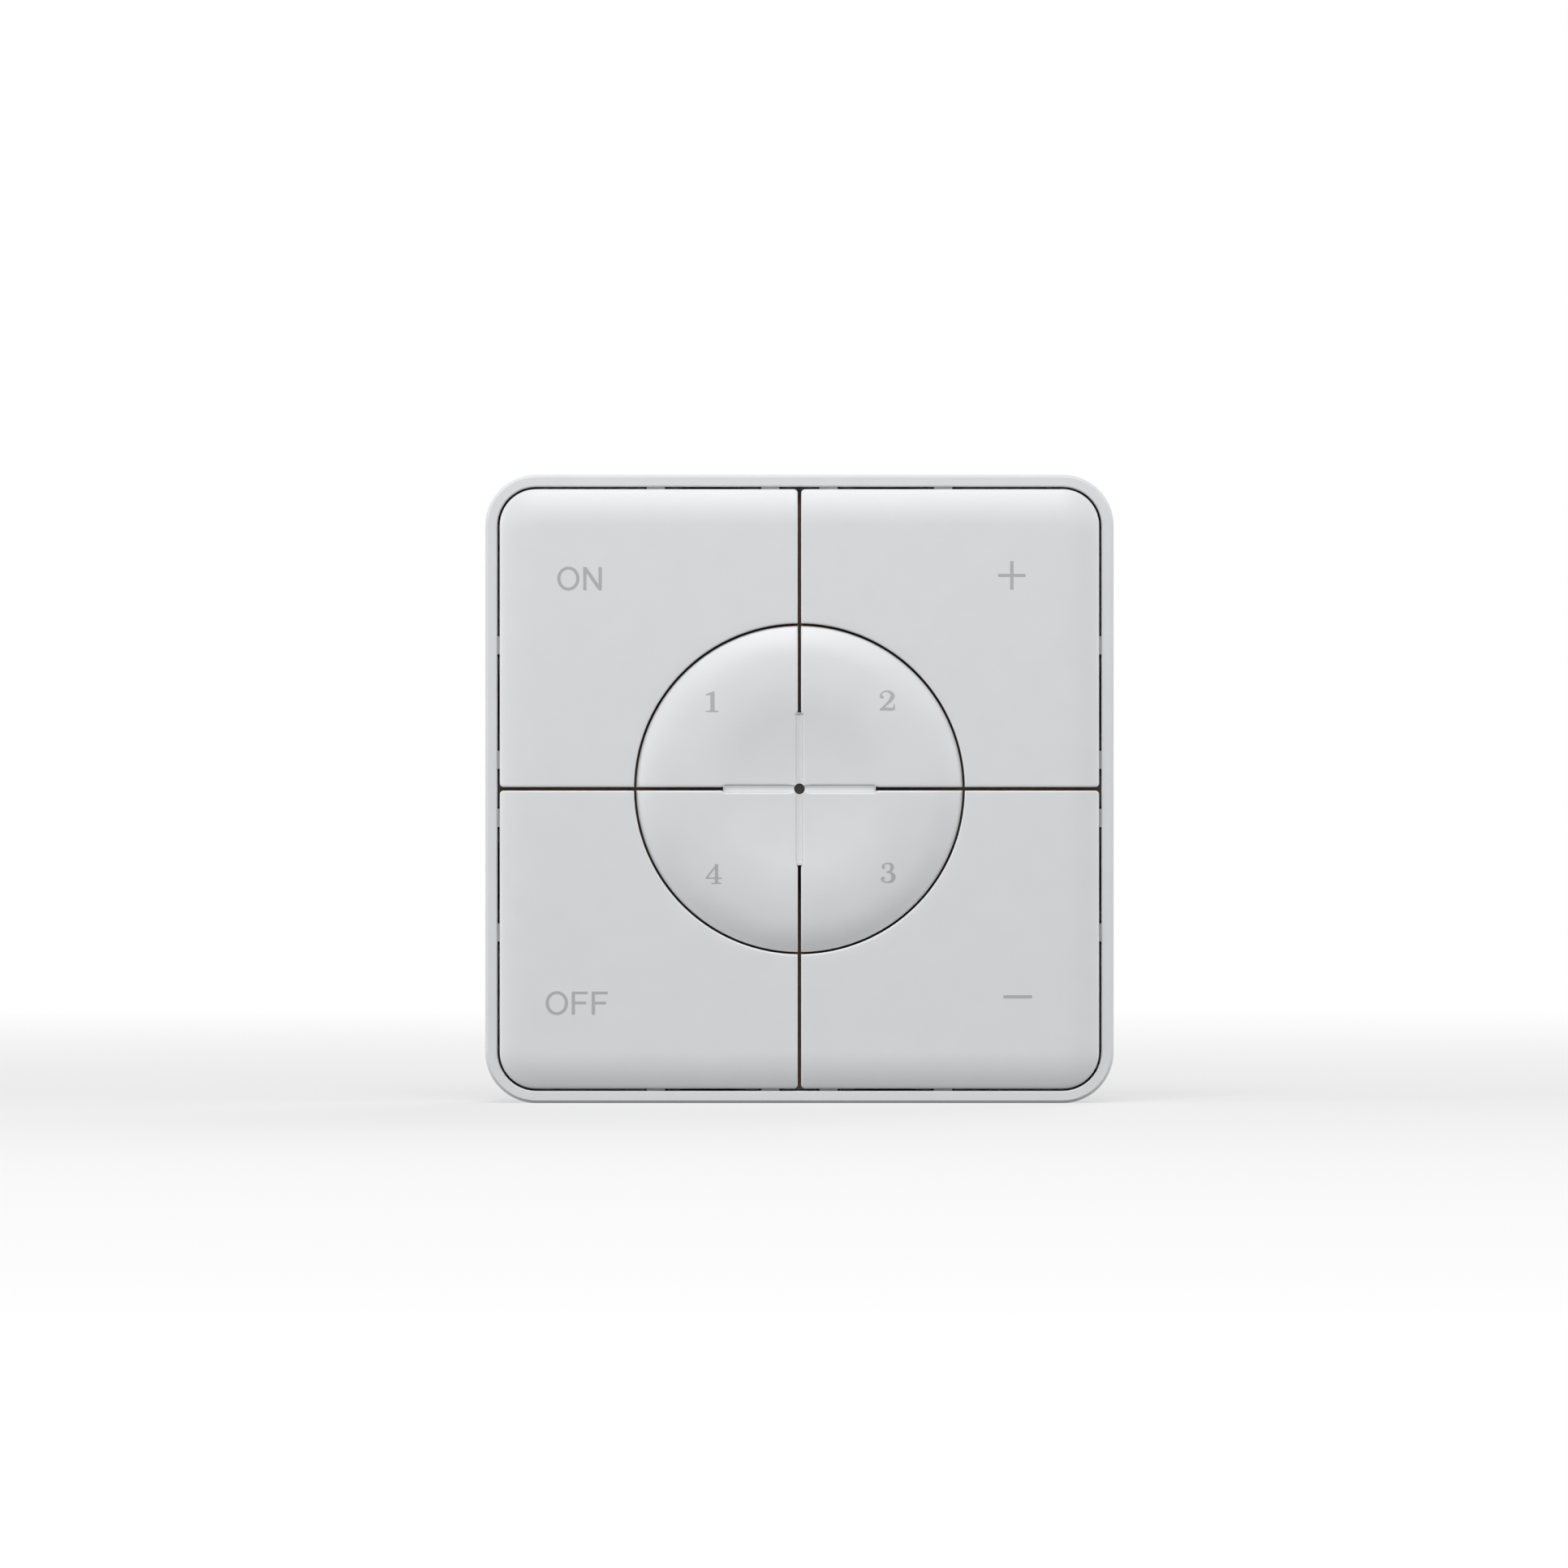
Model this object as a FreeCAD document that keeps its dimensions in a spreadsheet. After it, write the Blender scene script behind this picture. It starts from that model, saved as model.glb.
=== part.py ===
import FreeCAD, Part
import math
import os
import Sketcher

# Wireless remote wall switch: a square wall-hung sender with four corner keys
# round a dished disc that is slotted into four more keys.
#
# The model stands as it hangs: X to the right, Z up, and the face looks along -Y.
# Y = 0 is the wall, and the origin is the middle of the face that lies on it.
# Every front view sketch lies in the XZ plane, moved off the wall by its offset,
# so an offset is a distance from the wall and a pad grows towards the viewer.

doc = FreeCAD.newDocument("wall_switch")
sheet = doc.addObject("Spreadsheet::Sheet", "Sizes")

SIZES = [
    ("frame_side", 80.0, "width and height of the outer frame"),
    ("frame_corner", 6.5, "outer corner radius of the frame"),
    ("frame_wall", 1.55, "thickness of the frame, seen as its front rim"),
    ("frame_lift", 0.4, "gap between the frame's back edge and the wall"),
    ("frame_edge", 0.35, "bevel of the rim's outer edge"),
    ("frame_lip", 0.15, "bevel of the rim's inner edge"),
    ("plate_play", 0.95, "gap between the wall plate and the frame round it"),
    ("plate_corner", 4.0, "corner radius of the wall plate"),
    ("plate_thickness", 2.0, "thickness of the wall plate"),
    ("screw_inset", 7.5, "distance of a screw slot's middle from the plate's edge"),
    ("slot_length", 8.2, "length of a screw slot, end to end"),
    ("slot_radius", 2.1, "half the width of a screw slot"),
    ("countersink", 1.2, "depth and flare of the slots' countersinks"),
    ("tape_width", 56.0, "width of the two recesses for adhesive tape"),
    ("tape_height", 14.0, "height of each tape recess"),
    ("tape_offset", 18.0, "height of a tape recess's centre line above the middle"),
    ("tape_depth", 0.3, "depth of the tape recesses"),
    ("hook_width", 6.0, "width of a snap hook on the wall plate"),
    ("hook_thickness", 1.2, "thickness of a snap hook"),
    ("hook_across", 22.0, "distance of a hook from the middle, sideways"),
    ("hook_inset", 4.5, "distance of a hook from the wall plate's nearest edge"),
    ("hook_barb", 0.5, "overhang of a hook's barb"),
    ("hook_head", 1.0, "height of a hook's barb"),
    ("hook_play", 0.15, "clearance between a hook and its slot"),
    ("hook_flex", 0.6, "room for a hook to bend inwards"),
    ("plate_gap", 0.2, "gap between the wall plate and the rear housing"),
    ("housing_gap", 0.25, "gap between the rear housing and the frame"),
    ("housing_wall", 1.2, "thickness of the rear housing's side walls"),
    ("floor_thickness", 1.4, "thickness of the rear housing's floor"),
    ("board_room", 3.6, "space between the floor and the circuit board"),
    ("board_play", 4.0, "gap between the board and the housing's side walls"),
    ("board_corner", 3.0, "corner radius of the circuit board"),
    ("board_thickness", 1.0, "thickness of the circuit board"),
    ("post_width", 4.0, "width and height of a square board post"),
    ("post_inset", 3.0, "distance of a post from the board's edges"),
    ("catch_length", 8.0, "length of a catch rib inside the frame"),
    ("catch_depth", 0.7, "how far a catch rib stands in from the frame's wall"),
    ("catch_height", 1.0, "height of a catch rib"),
    ("cell_radius", 10.0, "radius of the coin cell"),
    ("cell_height", 3.2, "thickness of the coin cell"),
    ("cell_cap_inset", 1.1, "from the coin cell's side to the edge of its inner cap"),
    ("cell_cap_height", 0.3, "height of the coin cell's inner cap"),
    ("cell_edge", 0.4, "bevel of the coin cell's back edge"),
    ("cell_gap", 0.3, "gap round the coin cell in its well"),
    ("cover_radius", 12.4, "radius of the battery cover"),
    ("cover_gap", 0.2, "gap round the battery cover"),
    ("cover_sink", 0.1, "how far the cover's back is sunk in the housing"),
    ("cover_thickness", 1.1, "thickness of the battery cover"),
    ("coin_slot_length", 13.0, "length of the cover's coin slot"),
    ("coin_slot_width", 1.8, "width of the cover's coin slot"),
    ("coin_slot_depth", 0.6, "depth of the cover's coin slot"),
    ("well_wall", 1.0, "thickness of the well's wall outside the cover recess"),
    ("contact_thickness", 0.2, "thickness of a battery contact's strip"),
    ("contact_width", 4.0, "width of a battery contact"),
    ("contact_gap", 0.02, "gap between a contact and the cell's round side"),
    ("contact_foot", 2.6, "length of a contact's soldered foot"),
    ("contact_inset", 2.7, "from the cap's edge to the ends of the negative contact's feet"),
    ("contact_tip", 1.4, "half the stretch of the negative contact on the cell"),
    ("notch_play", 0.4, "room beside a contact in the well's notch"),
    ("radio_width", 14.0, "width of the radio module"),
    ("radio_thickness", 1.8, "thickness of the radio module"),
    ("radio_inset", 4.0, "from the board's upper edge to the radio module"),
    ("radio_play", 5.4, "gap between the radio module and the battery well's wall"),
    ("led_width", 1.6, "width of the indicator chip"),
    ("led_height", 0.8, "height of the indicator chip"),
    ("led_thickness", 0.6, "thickness of the indicator chip"),
    ("switch_side", 4.5, "width and height of a switch body"),
    ("switch_height", 1.4, "height of a switch body on the board"),
    ("plunger_width", 2.0, "width and height of a square switch plunger"),
    ("plunger_rise", 0.6, "how far a plunger stands out of its switch"),
    ("plunger_grip", 0.3, "how deep a plunger sits in its switch at rest"),
    ("running_gap", 0.05, "clearance round plungers, pins, spigot and light pipe"),
    ("deck_room", 0.8, "space between the board and the deck"),
    ("deck_thickness", 1.2, "thickness of the dark deck under the keys"),
    ("deck_gap", 0.2, "gap between the deck and the frame"),
    ("window_play", 0.4, "room round a switch in its window in the deck"),
    ("key_travel", 0.5, "travel of a corner key"),
    ("stop_gap", 0.2, "what is left under a corner key when it is pressed"),
    ("key_gap", 0.31, "gap between the frame and the corner keys"),
    ("cross_gap", 0.45, "gap between neighbouring corner keys"),
    ("key_tip", 0.5, "rounding of a key where the cross gap meets the frame"),
    ("key_edge", 0.2, "bevel of a corner key's front edges"),
    ("key_skirt", 1.1, "height of a corner key's skirt"),
    ("key_wall", 1.0, "thickness of a corner key's skirt"),
    ("key_thickness", 1.8, "thickness of a corner key's flat"),
    ("crown_radius", 11.0, "radius of the pillow rounding at the outer edges"),
    ("crown_width", 4.6, "width of the pillow rounding"),
    ("crown_corner", 0.5, "corner radius of the flat inside the pillow"),
    ("rim_drop", 1.2, "how far the frame's rim lies below the keys' flat"),
    ("lug_width", 2.3, "width of a key's retaining lug"),
    ("lug_thickness", 0.8, "thickness of a retaining lug"),
    ("lug_reach", 1.0, "how far a lug stands out of its key"),
    ("lug_near", 3.7, "distance of the inner lugs from the middle of a side"),
    ("lug_far", 18.3, "distance of the outer lugs from the middle of a side"),
    ("lug_play", 0.3, "room beside and behind a lug in the frame"),
    ("lug_seat", 0.05, "gap between a lug and the stop above it"),
    ("stem_width", 2.6, "width and height of the stem that presses a switch"),
    ("stem_gap", 0.08, "gap between a stem and its plunger"),
    ("key_switch_inset", 14.14, "distance of a corner key's switch from its outer sides"),
    ("pin_width", 2.0, "width and height of a corner key's square guide pin"),
    ("pin_length", 2.6, "length of a guide pin below the key's roof"),
    ("pin_near", 8.0, "distance of a guide pin from one middle line"),
    ("pin_inset", 4.64, "distance of a guide pin from its key's outer side"),
    ("disc_radius", 20.75, "radius of the disc"),
    ("disc_gap", 0.3, "gap between the disc and the corner keys"),
    ("disc_rise", 1.0, "how far the disc's crest stands above the keys' flat"),
    ("disc_thickness", 2.0, "thickness of the disc at its crest"),
    ("disc_skirt", 1.2, "height of the skirt under the disc's rim"),
    ("disc_wall", 1.0, "thickness of the skirt under the disc's rim"),
    ("dish_radius", 90.9, "radius of the hollow in the middle of the disc"),
    ("crest_inset", 7.85, "distance of the disc's crest from its edge"),
    ("crest_round", 32.5, "radius of the rounding across the crest"),
    ("roll_width", 3.75, "width of the rolled rim"),
    ("roll_round", 10.9, "radius of the rolled rim"),
    ("disc_slot", 0.42, "width of the slots between the disc's keys"),
    ("slot_depth", 11.05, "how far a slot reaches in from the disc's edge"),
    ("groove_width", 0.83, "width of the cross groove in the disc"),
    ("groove_depth", 0.3, "depth of the cross groove"),
    ("groove_lip", 0.13, "thickness of the lip between groove and slot"),
    ("disc_switch_inset", 7.25, "distance of a disc key's switch from the disc's edge"),
    ("hub_drop", 0.3, "how far the hub's bars reach below the disc's keys"),
    ("hub_radius", 3.0, "radius of the hub's post"),
    ("spigot_radius", 2.0, "radius of the hub's spigot in the deck"),
    ("pipe_radius", 0.625, "radius of the light pipe"),
    ("pipe_sink", 0.8, "how far the light pipe ends below the disc's face"),
    ("pipe_foot_radius", 1.5, "radius of the light pipe's foot"),
    ("pipe_foot", 0.15, "thickness of the light pipe's foot"),
]

for row, (alias, value, meaning) in enumerate(SIZES, start=1):
    sheet.set(f"A{row}", alias)
    sheet.set(f"B{row}", str(value))
    sheet.setAlias(f"B{row}", alias)
    sheet.set(f"C{row}", meaning)
doc.recompute()

# Distances from the wall, from the back of the product to its front
housing_back = "(Sizes.plate_thickness + Sizes.plate_gap)"
floor_front = f"({housing_back} + Sizes.floor_thickness)"
board_back = f"({floor_front} + Sizes.board_room)"
board_front = f"({board_back} + Sizes.board_thickness)"
switch_front = f"({board_front} + Sizes.switch_height)"
plunger_front = f"({switch_front} + Sizes.plunger_rise)"
deck_back = f"({board_front} + Sizes.deck_room)"
deck_front = f"({deck_back} + Sizes.deck_thickness)"
skirt_back = f"({deck_front} + Sizes.key_travel + Sizes.stop_gap)"
key_roof = f"({skirt_back} + Sizes.key_skirt)"
key_front = f"({key_roof} + Sizes.key_thickness)"
lug_front = f"({skirt_back} + Sizes.lug_thickness)"
frame_front = f"({key_front} - Sizes.rim_drop)"
crest_front = f"({key_front} + Sizes.disc_rise)"
disc_back = f"({crest_front} - Sizes.disc_thickness)"
hub_back = f"({disc_back} - Sizes.hub_drop)"
cover_back = f"({housing_back} + Sizes.cover_sink)"
cell_back = f"({cover_back} + Sizes.cover_thickness)"
cell_front = f"({cell_back} + Sizes.cell_height)"

# The cuts that free a piece of the disc start in front of it, reach down to the
# deck, and end sideways at a circle well outside the disc
above_disc = f"({crest_front} + Sizes.disc_rise)"
through_disc = f"({above_disc} - {deck_front})"
around_disc = "(2 * Sizes.disc_radius)"

# Half widths and radii that follow from the driving sizes
frame_half = "(Sizes.frame_side / 2)"
opening_half = f"({frame_half} - Sizes.frame_wall)"
opening_corner = "(Sizes.frame_corner - Sizes.frame_wall)"
housing_half = f"({opening_half} - Sizes.housing_gap)"
housing_corner = f"({opening_corner} - Sizes.housing_gap)"
deck_half = f"({opening_half} - Sizes.deck_gap)"
deck_corner = f"({opening_corner} - Sizes.deck_gap)"
key_half = f"({opening_half} - Sizes.key_gap)"
key_corner = f"({opening_corner} - Sizes.key_gap)"
key_side = "(Sizes.cross_gap / 2)"
key_bore = "(Sizes.disc_radius + Sizes.disc_gap)"
plate_half = f"({opening_half} - Sizes.plate_play)"
hook_place = f"({plate_half} - Sizes.hook_inset)"
board_half = f"({housing_half} - Sizes.housing_wall - Sizes.board_play)"
cell_cap_radius = "(Sizes.cell_radius - Sizes.cell_cap_inset)"
post_place = f"({board_half} - Sizes.post_inset)"
pin_far = f"({key_half} - Sizes.pin_inset)"
key_switch_place = f"({key_half} - Sizes.key_switch_inset)"
disc_switch_place = "((Sizes.disc_radius - Sizes.disc_switch_inset) / sqrt(2))"
crest_radius = "(Sizes.disc_radius - Sizes.crest_inset)"
roll_start = "(Sizes.disc_radius - Sizes.roll_width)"
slot_end = "(Sizes.disc_radius - Sizes.slot_depth)"
eye_radius = "(Sizes.pipe_radius + Sizes.running_gap)"
well_radius = "(Sizes.cover_radius + Sizes.cover_gap + Sizes.well_wall)"
radio_low = f"({well_radius} + Sizes.radio_play)"
radio_high = f"({board_half} - Sizes.radio_inset)"

# The disc's face is three arcs about its axis, each tangent to the next: a wide
# hollow, the rounded crest and the rolled rim
hollow_edge = (
    f"({crest_radius} * Sizes.dish_radius"
    " / (Sizes.dish_radius + Sizes.crest_round))"
)
crest_centre = f"({crest_front} - Sizes.crest_round)"
hollow_edge_front = (
    f"({crest_centre} + sqrt(Sizes.crest_round ^ 2"
    f" - ({crest_radius} - {hollow_edge}) ^ 2))"
)
hollow_centre_front = (
    f"({hollow_edge_front} - Sizes.dish_radius"
    f" + sqrt(Sizes.dish_radius ^ 2 - {hollow_edge} ^ 2))"
)
roll_front = (
    f"({crest_centre} + sqrt(Sizes.crest_round ^ 2"
    f" - ({roll_start} - {crest_radius}) ^ 2))"
)
roll_share = "((Sizes.crest_round - Sizes.roll_round) / Sizes.crest_round)"
roll_centre = f"({crest_radius} + ({roll_start} - {crest_radius}) * {roll_share})"
roll_centre_front = f"({crest_centre} + ({roll_front} - {crest_centre}) * {roll_share})"
rim_front = (
    f"({roll_centre_front} + sqrt(Sizes.roll_round ^ 2"
    f" - (Sizes.disc_radius - {roll_centre}) ^ 2))"
)

# The four quarters, as the signs of X and Z, with their corner key and disc key
QUARTERS = [
    (-1, 1, "key_on", "disc_key_1"),
    (1, 1, "key_plus", "disc_key_2"),
    (1, -1, "key_minus", "disc_key_3"),
    (-1, -1, "key_off", "disc_key_4"),
]

# Two places nearer than this are the same place
CLOSE = 0.001

parts = []


def number(expression):
    """The value of an expression of the sheet's sizes."""
    return float(sheet.evalExpression(expression))


def signed(sign, expression):
    """The expression, turned over for the negative side."""
    return expression if sign > 0 else f"-({expression})"


def new_body(label):
    """An empty body that becomes one sub-part."""
    body = doc.addObject("PartDesign::Body", label)
    body.Label = label
    parts.append(body)
    return body


def sketch_on(body, name, role, offset):
    """A sketch on one of the body's origin planes, moved along its normal."""
    plane = [item for item in body.Origin.OriginFeatures if item.Role == role][0]
    sketch = body.newObject("Sketcher::SketchObject", name)
    sketch.AttachmentSupport = [(plane, "")]
    sketch.MapMode = "FlatFace"
    sketch.setExpression("AttachmentOffset.Base.z", offset)
    return sketch


def front_sketch(body, name, distance):
    """A front view sketch at a distance from the wall."""
    return sketch_on(body, name, "XZ_Plane", distance)


def place_point(sketch, geometry, vertex, x, y):
    """Pins a point of a sketch at two expressions."""
    for kind, axis, value in (("DistanceX", -2, x), ("DistanceY", -1, y)):
        if abs(number(value)) < CLOSE:
            sketch.addConstraint(Sketcher.Constraint("PointOnObject", geometry, vertex, axis))
            continue
        index = sketch.addConstraint(
            Sketcher.Constraint(kind, -1, 1, geometry, vertex, number(value))
        )
        sketch.setExpression(f"Constraints[{index}]", value)


def bind_radius(sketch, geometry, radius):
    """Sets the radius of a circle or an arc to an expression."""
    index = sketch.addConstraint(Sketcher.Constraint("Radius", geometry, number(radius)))
    sketch.setExpression(f"Constraints[{index}]", radius)


def arc_between(start, end, radius, turn):
    """The shorter arc from start to end; turn is 1 if it bends left, -1 if right."""
    chord = end - start
    rise = math.sqrt(max(radius ** 2 - (chord.Length / 2) ** 2, 0.0))
    across = FreeCAD.Vector(-chord.y, chord.x, 0).normalize()
    centre = (start + end) * 0.5 + across * rise * turn
    first, last = (start, end) if turn > 0 else (end, start)
    angles = [math.atan2(p.y - centre.y, p.x - centre.x) for p in (first, last)]
    circle = Part.Circle(centre, FreeCAD.Vector(0, 0, 1), radius)
    return Part.ArcOfCircle(circle, angles[0], angles[1])


def draw(sketch, corners, arcs=None):
    """Closes an outline through corners; arcs maps an edge to its radius and turn."""
    arcs = arcs or {}
    points = [FreeCAD.Vector(number(x), number(y), 0) for x, y in corners]
    edges = []
    for index, start in enumerate(points):
        end = points[(index + 1) % len(points)]
        radius, turn = arcs.get(index, (None, 1))
        curve = Part.LineSegment(start, end)
        if radius:
            curve = arc_between(start, end, number(radius), turn)
        ends = (1, 2) if turn > 0 else (2, 1)
        edges.append((sketch.addGeometry(curve, False), ends))
    for index, (edge, ends) in enumerate(edges):
        following, following_ends = edges[(index + 1) % len(edges)]
        sketch.addConstraint(
            Sketcher.Constraint("Coincident", edge, ends[1], following, following_ends[0])
        )
    for (edge, ends), (x, y) in zip(edges, corners):
        place_point(sketch, edge, ends[0], x, y)
    for index, (radius, turn) in arcs.items():
        bind_radius(sketch, edges[index][0], radius)


def draw_box(sketch, left, bottom, right, top):
    """A rectangle between two opposite corners."""
    draw(sketch, [(left, bottom), (right, bottom), (right, top), (left, top)])


def draw_square(sketch, x, y, width):
    """A square about a centre."""
    half = f"{width} / 2"
    draw_box(sketch, f"{x} - {half}", f"{y} - {half}", f"{x} + {half}", f"{y} + {half}")


def draw_circle(sketch, x, y, radius):
    """A circle at a centre."""
    centre = FreeCAD.Vector(number(x), number(y), 0)
    circle = Part.Circle(centre, FreeCAD.Vector(0, 0, 1), number(radius))
    geometry = sketch.addGeometry(circle, False)
    place_point(sketch, geometry, 3, x, y)
    bind_radius(sketch, geometry, radius)


def draw_rounded_square(sketch, half, corner):
    """A square round the origin, with rounded corners."""
    flat = f"({half} - {corner})"
    corners = [
        (signed(-1, flat), signed(-1, half)), (flat, signed(-1, half)),
        (half, signed(-1, flat)), (half, flat),
        (flat, half), (signed(-1, flat), half),
        (signed(-1, half), flat), (signed(-1, half), signed(-1, flat)),
    ]
    draw(sketch, corners, {edge: (corner, 1) for edge in (1, 3, 5, 7)})


def draw_slot(sketch, first, last, radius):
    """A slot with round ends about two centres."""
    centres = [FreeCAD.Vector(number(x), number(y), 0) for x, y in (first, last)]
    along = (centres[1] - centres[0]).normalize()
    side = FreeCAD.Vector(along.y, -along.x, 0) * number(radius)
    heading = math.atan2(along.y, along.x)
    up = FreeCAD.Vector(0, 0, 1)
    start_circle = Part.Circle(centres[0], up, number(radius))
    end_circle = Part.Circle(centres[1], up, number(radius))
    quarter = math.pi / 2
    right = sketch.addGeometry(Part.LineSegment(centres[0] + side, centres[1] + side), False)
    end_arc = Part.ArcOfCircle(end_circle, heading - quarter, heading + quarter)
    end = sketch.addGeometry(end_arc, False)
    left = sketch.addGeometry(Part.LineSegment(centres[1] - side, centres[0] - side), False)
    start_arc = Part.ArcOfCircle(start_circle, heading + quarter, heading + 3 * quarter)
    start = sketch.addGeometry(start_arc, False)
    for before, after in ((right, end), (end, left), (left, start), (start, right)):
        sketch.addConstraint(Sketcher.Constraint("Tangent", before, 2, after, 1))
    place_point(sketch, start, 3, *first)
    place_point(sketch, end, 3, *last)
    bind_radius(sketch, start, radius)
    bind_radius(sketch, end, radius)


def pad(body, sketch, length):
    """Grows the sketch towards the viewer."""
    feature = body.newObject("PartDesign::Pad", f"{sketch.Name}_pad")
    feature.Profile = sketch
    feature.setExpression("Length", length)
    return feature


def pad_back(body, sketch, length):
    """Grows the sketch towards the wall."""
    feature = pad(body, sketch, length)
    feature.Reversed = True
    return feature


def pocket(body, sketch, depth):
    """Cuts from the sketch towards the wall."""
    feature = body.newObject("PartDesign::Pocket", f"{sketch.Name}_pocket")
    feature.Profile = sketch
    feature.setExpression("Length", depth)
    return feature


def pocket_forward(body, sketch, depth):
    """Cuts from the sketch towards the viewer."""
    feature = pocket(body, sketch, depth)
    feature.Reversed = True
    return feature


def revolve(body, sketch, kind="PartDesign::Revolution"):
    """Turns a half section about the disc's axis, the sketch's upright axis."""
    feature = body.newObject(kind, f"{sketch.Name}_turn")
    feature.Profile = sketch
    feature.ReferenceAxis = (sketch, ["V_Axis"])
    feature.Angle = 360.0
    return feature


def edges_where(feature, test):
    """Names of a feature's edges that pass a test."""
    doc.recompute()
    edges = feature.Shape.Edges
    return [f"Edge{i}" for i, edge in enumerate(edges, start=1) if test(edge)]


def dress(body, feature, names, kind, setting, size):
    """A fillet or a chamfer on some of a feature's edges."""
    dressed = body.newObject(f"PartDesign::{kind}", f"{feature.Name}_{kind.lower()}")
    dressed.Base = (feature, names)
    dressed.setExpression(setting, size)
    doc.recompute()
    return dressed


def fillet(body, feature, names, radius):
    """Rounds edges of a feature."""
    return dress(body, feature, names, "Fillet", "Radius", radius)


def bevel(body, feature, names, size):
    """Bevels edges of a feature."""
    return dress(body, feature, names, "Chamfer", "Size", size)


def middle(edge):
    """The middle point of an edge, as X, distance from the wall, and Z."""
    point = edge.valueAt((edge.FirstParameter + edge.LastParameter) / 2)
    return point.x, -point.y, point.z


def lies_at(edge, distance):
    """True where an edge lies flat at a distance from the wall."""
    box = edge.BoundBox
    level = -number(distance)
    return abs(box.YMin - level) < CLOSE and abs(box.YMax - level) < CLOSE


def front_slope(face):
    """How far a face looks to the front at its middle: 0 for a side wall, 1 for a flat."""
    u0, u1, v0, v1 = face.ParameterRange
    return -face.normalAt((u0 + u1) / 2, (v0 + v1) / 2).y


def make_wall_plate():
    """The plate that is screwed or taped to the wall, with its four snap hooks."""
    body = new_body("wall_plate")
    outline = front_sketch(body, "plate_outline", "0")
    draw_rounded_square(outline, plate_half, "Sizes.plate_corner")
    pad(body, outline, "Sizes.plate_thickness")

    slots = front_sketch(body, "screw_slots", "Sizes.plate_thickness")
    place = f"({plate_half} - Sizes.screw_inset)"
    reach = "(Sizes.slot_length / 2 - Sizes.slot_radius)"
    for sign in (-1, 1):
        near = signed(sign, place)
        draw_slot(slots, (f"{near} - {reach}", "0"), (f"{near} + {reach}", "0"),
                  "Sizes.slot_radius")
        draw_slot(slots, ("0", f"{near} - {reach}"), ("0", f"{near} + {reach}"),
                  "Sizes.slot_radius")
    slotted = pocket(body, slots, "Sizes.plate_thickness")
    inside = number(f"{plate_half} - Sizes.plate_corner / 2")

    def on_slot(edge):
        x, _, z = middle(edge)
        return lies_at(edge, "Sizes.plate_thickness") and max(abs(x), abs(z)) < inside

    bevel(body, slotted, edges_where(slotted, on_slot), "Sizes.countersink")

    tape = front_sketch(body, "tape_recesses", "0")
    for sign in (-1, 1):
        centre = signed(sign, "Sizes.tape_offset")
        draw_box(tape, "-Sizes.tape_width / 2", f"{centre} - Sizes.tape_height / 2",
                 "Sizes.tape_width / 2", f"{centre} + Sizes.tape_height / 2")
    pocket_forward(body, tape, "Sizes.tape_depth")

    barb_back = f"({floor_front} + Sizes.hook_play)"
    stems = front_sketch(body, "hook_stems", "Sizes.plate_thickness")
    heads = front_sketch(body, "hook_heads", barb_back)
    for across in (-1, 1):
        for up in (-1, 1):
            left = f"({signed(across, 'Sizes.hook_across')} - Sizes.hook_width / 2)"
            right = f"({left} + Sizes.hook_width)"
            inside = signed(up, f"{hook_place} - Sizes.hook_thickness / 2")
            outside = signed(up, f"{hook_place} + Sizes.hook_thickness / 2")
            tip = signed(up, f"{hook_place} + Sizes.hook_thickness / 2 + Sizes.hook_barb")
            draw_box(stems, left, inside, right, outside)
            draw_box(heads, left, inside, right, tip)
    pad(body, stems, f"{barb_back} - Sizes.plate_thickness")
    pad(body, heads, "Sizes.hook_head")


def make_rear_housing():
    """The tray behind the circuit board, with the battery well in its floor."""
    body = new_body("rear_housing")
    outline = front_sketch(body, "housing_outline", housing_back)
    draw_rounded_square(outline, housing_half, housing_corner)
    pad(body, outline, f"{deck_back} - {housing_back}")
    tray = front_sketch(body, "housing_tray", deck_back)
    draw_rounded_square(tray, f"({housing_half} - Sizes.housing_wall)",
                        f"({housing_corner} - Sizes.housing_wall)")
    pocket(body, tray, f"{deck_back} - {floor_front}")

    supports = front_sketch(body, "board_supports", floor_front)
    draw_circle(supports, "0", "0", well_radius)
    for across, up, _, _ in QUARTERS:
        draw_square(supports, signed(across, post_place), signed(up, post_place),
                    "Sizes.post_width")
    pad(body, supports, "Sizes.board_room")

    well = front_sketch(body, "cell_well", housing_back)
    draw_circle(well, "0", "0", "(Sizes.cell_radius + Sizes.cell_gap)")
    pocket_forward(body, well, f"{board_back} - {housing_back}")
    recess = front_sketch(body, "cover_recess", housing_back)
    draw_circle(recess, "0", "0", "(Sizes.cover_radius + Sizes.cover_gap)")
    pocket_forward(body, recess, "Sizes.cover_sink + Sizes.cover_thickness")
    notch = front_sketch(body, "contact_notch", board_back)
    notch_half = "(Sizes.contact_width / 2 + Sizes.notch_play)"
    draw_box(notch, "Sizes.cell_radius / 2", signed(-1, notch_half),
             f"({well_radius} + Sizes.notch_play)", notch_half)
    pocket(body, notch, "Sizes.board_room")

    hooks = front_sketch(body, "hook_slots", floor_front)
    play = "Sizes.hook_play"
    for across in (-1, 1):
        for up in (-1, 1):
            middle_line = signed(across, "Sizes.hook_across")
            left = f"({middle_line} - Sizes.hook_width / 2 - {play})"
            right = f"({middle_line} + Sizes.hook_width / 2 + {play})"
            inside = signed(up, f"{hook_place} - Sizes.hook_thickness / 2 - Sizes.hook_flex")
            outside = signed(up, f"{hook_place} + Sizes.hook_thickness / 2 + {play}")
            draw_box(hooks, left, inside, right, outside)
    pocket(body, hooks, "Sizes.floor_thickness")


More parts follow.
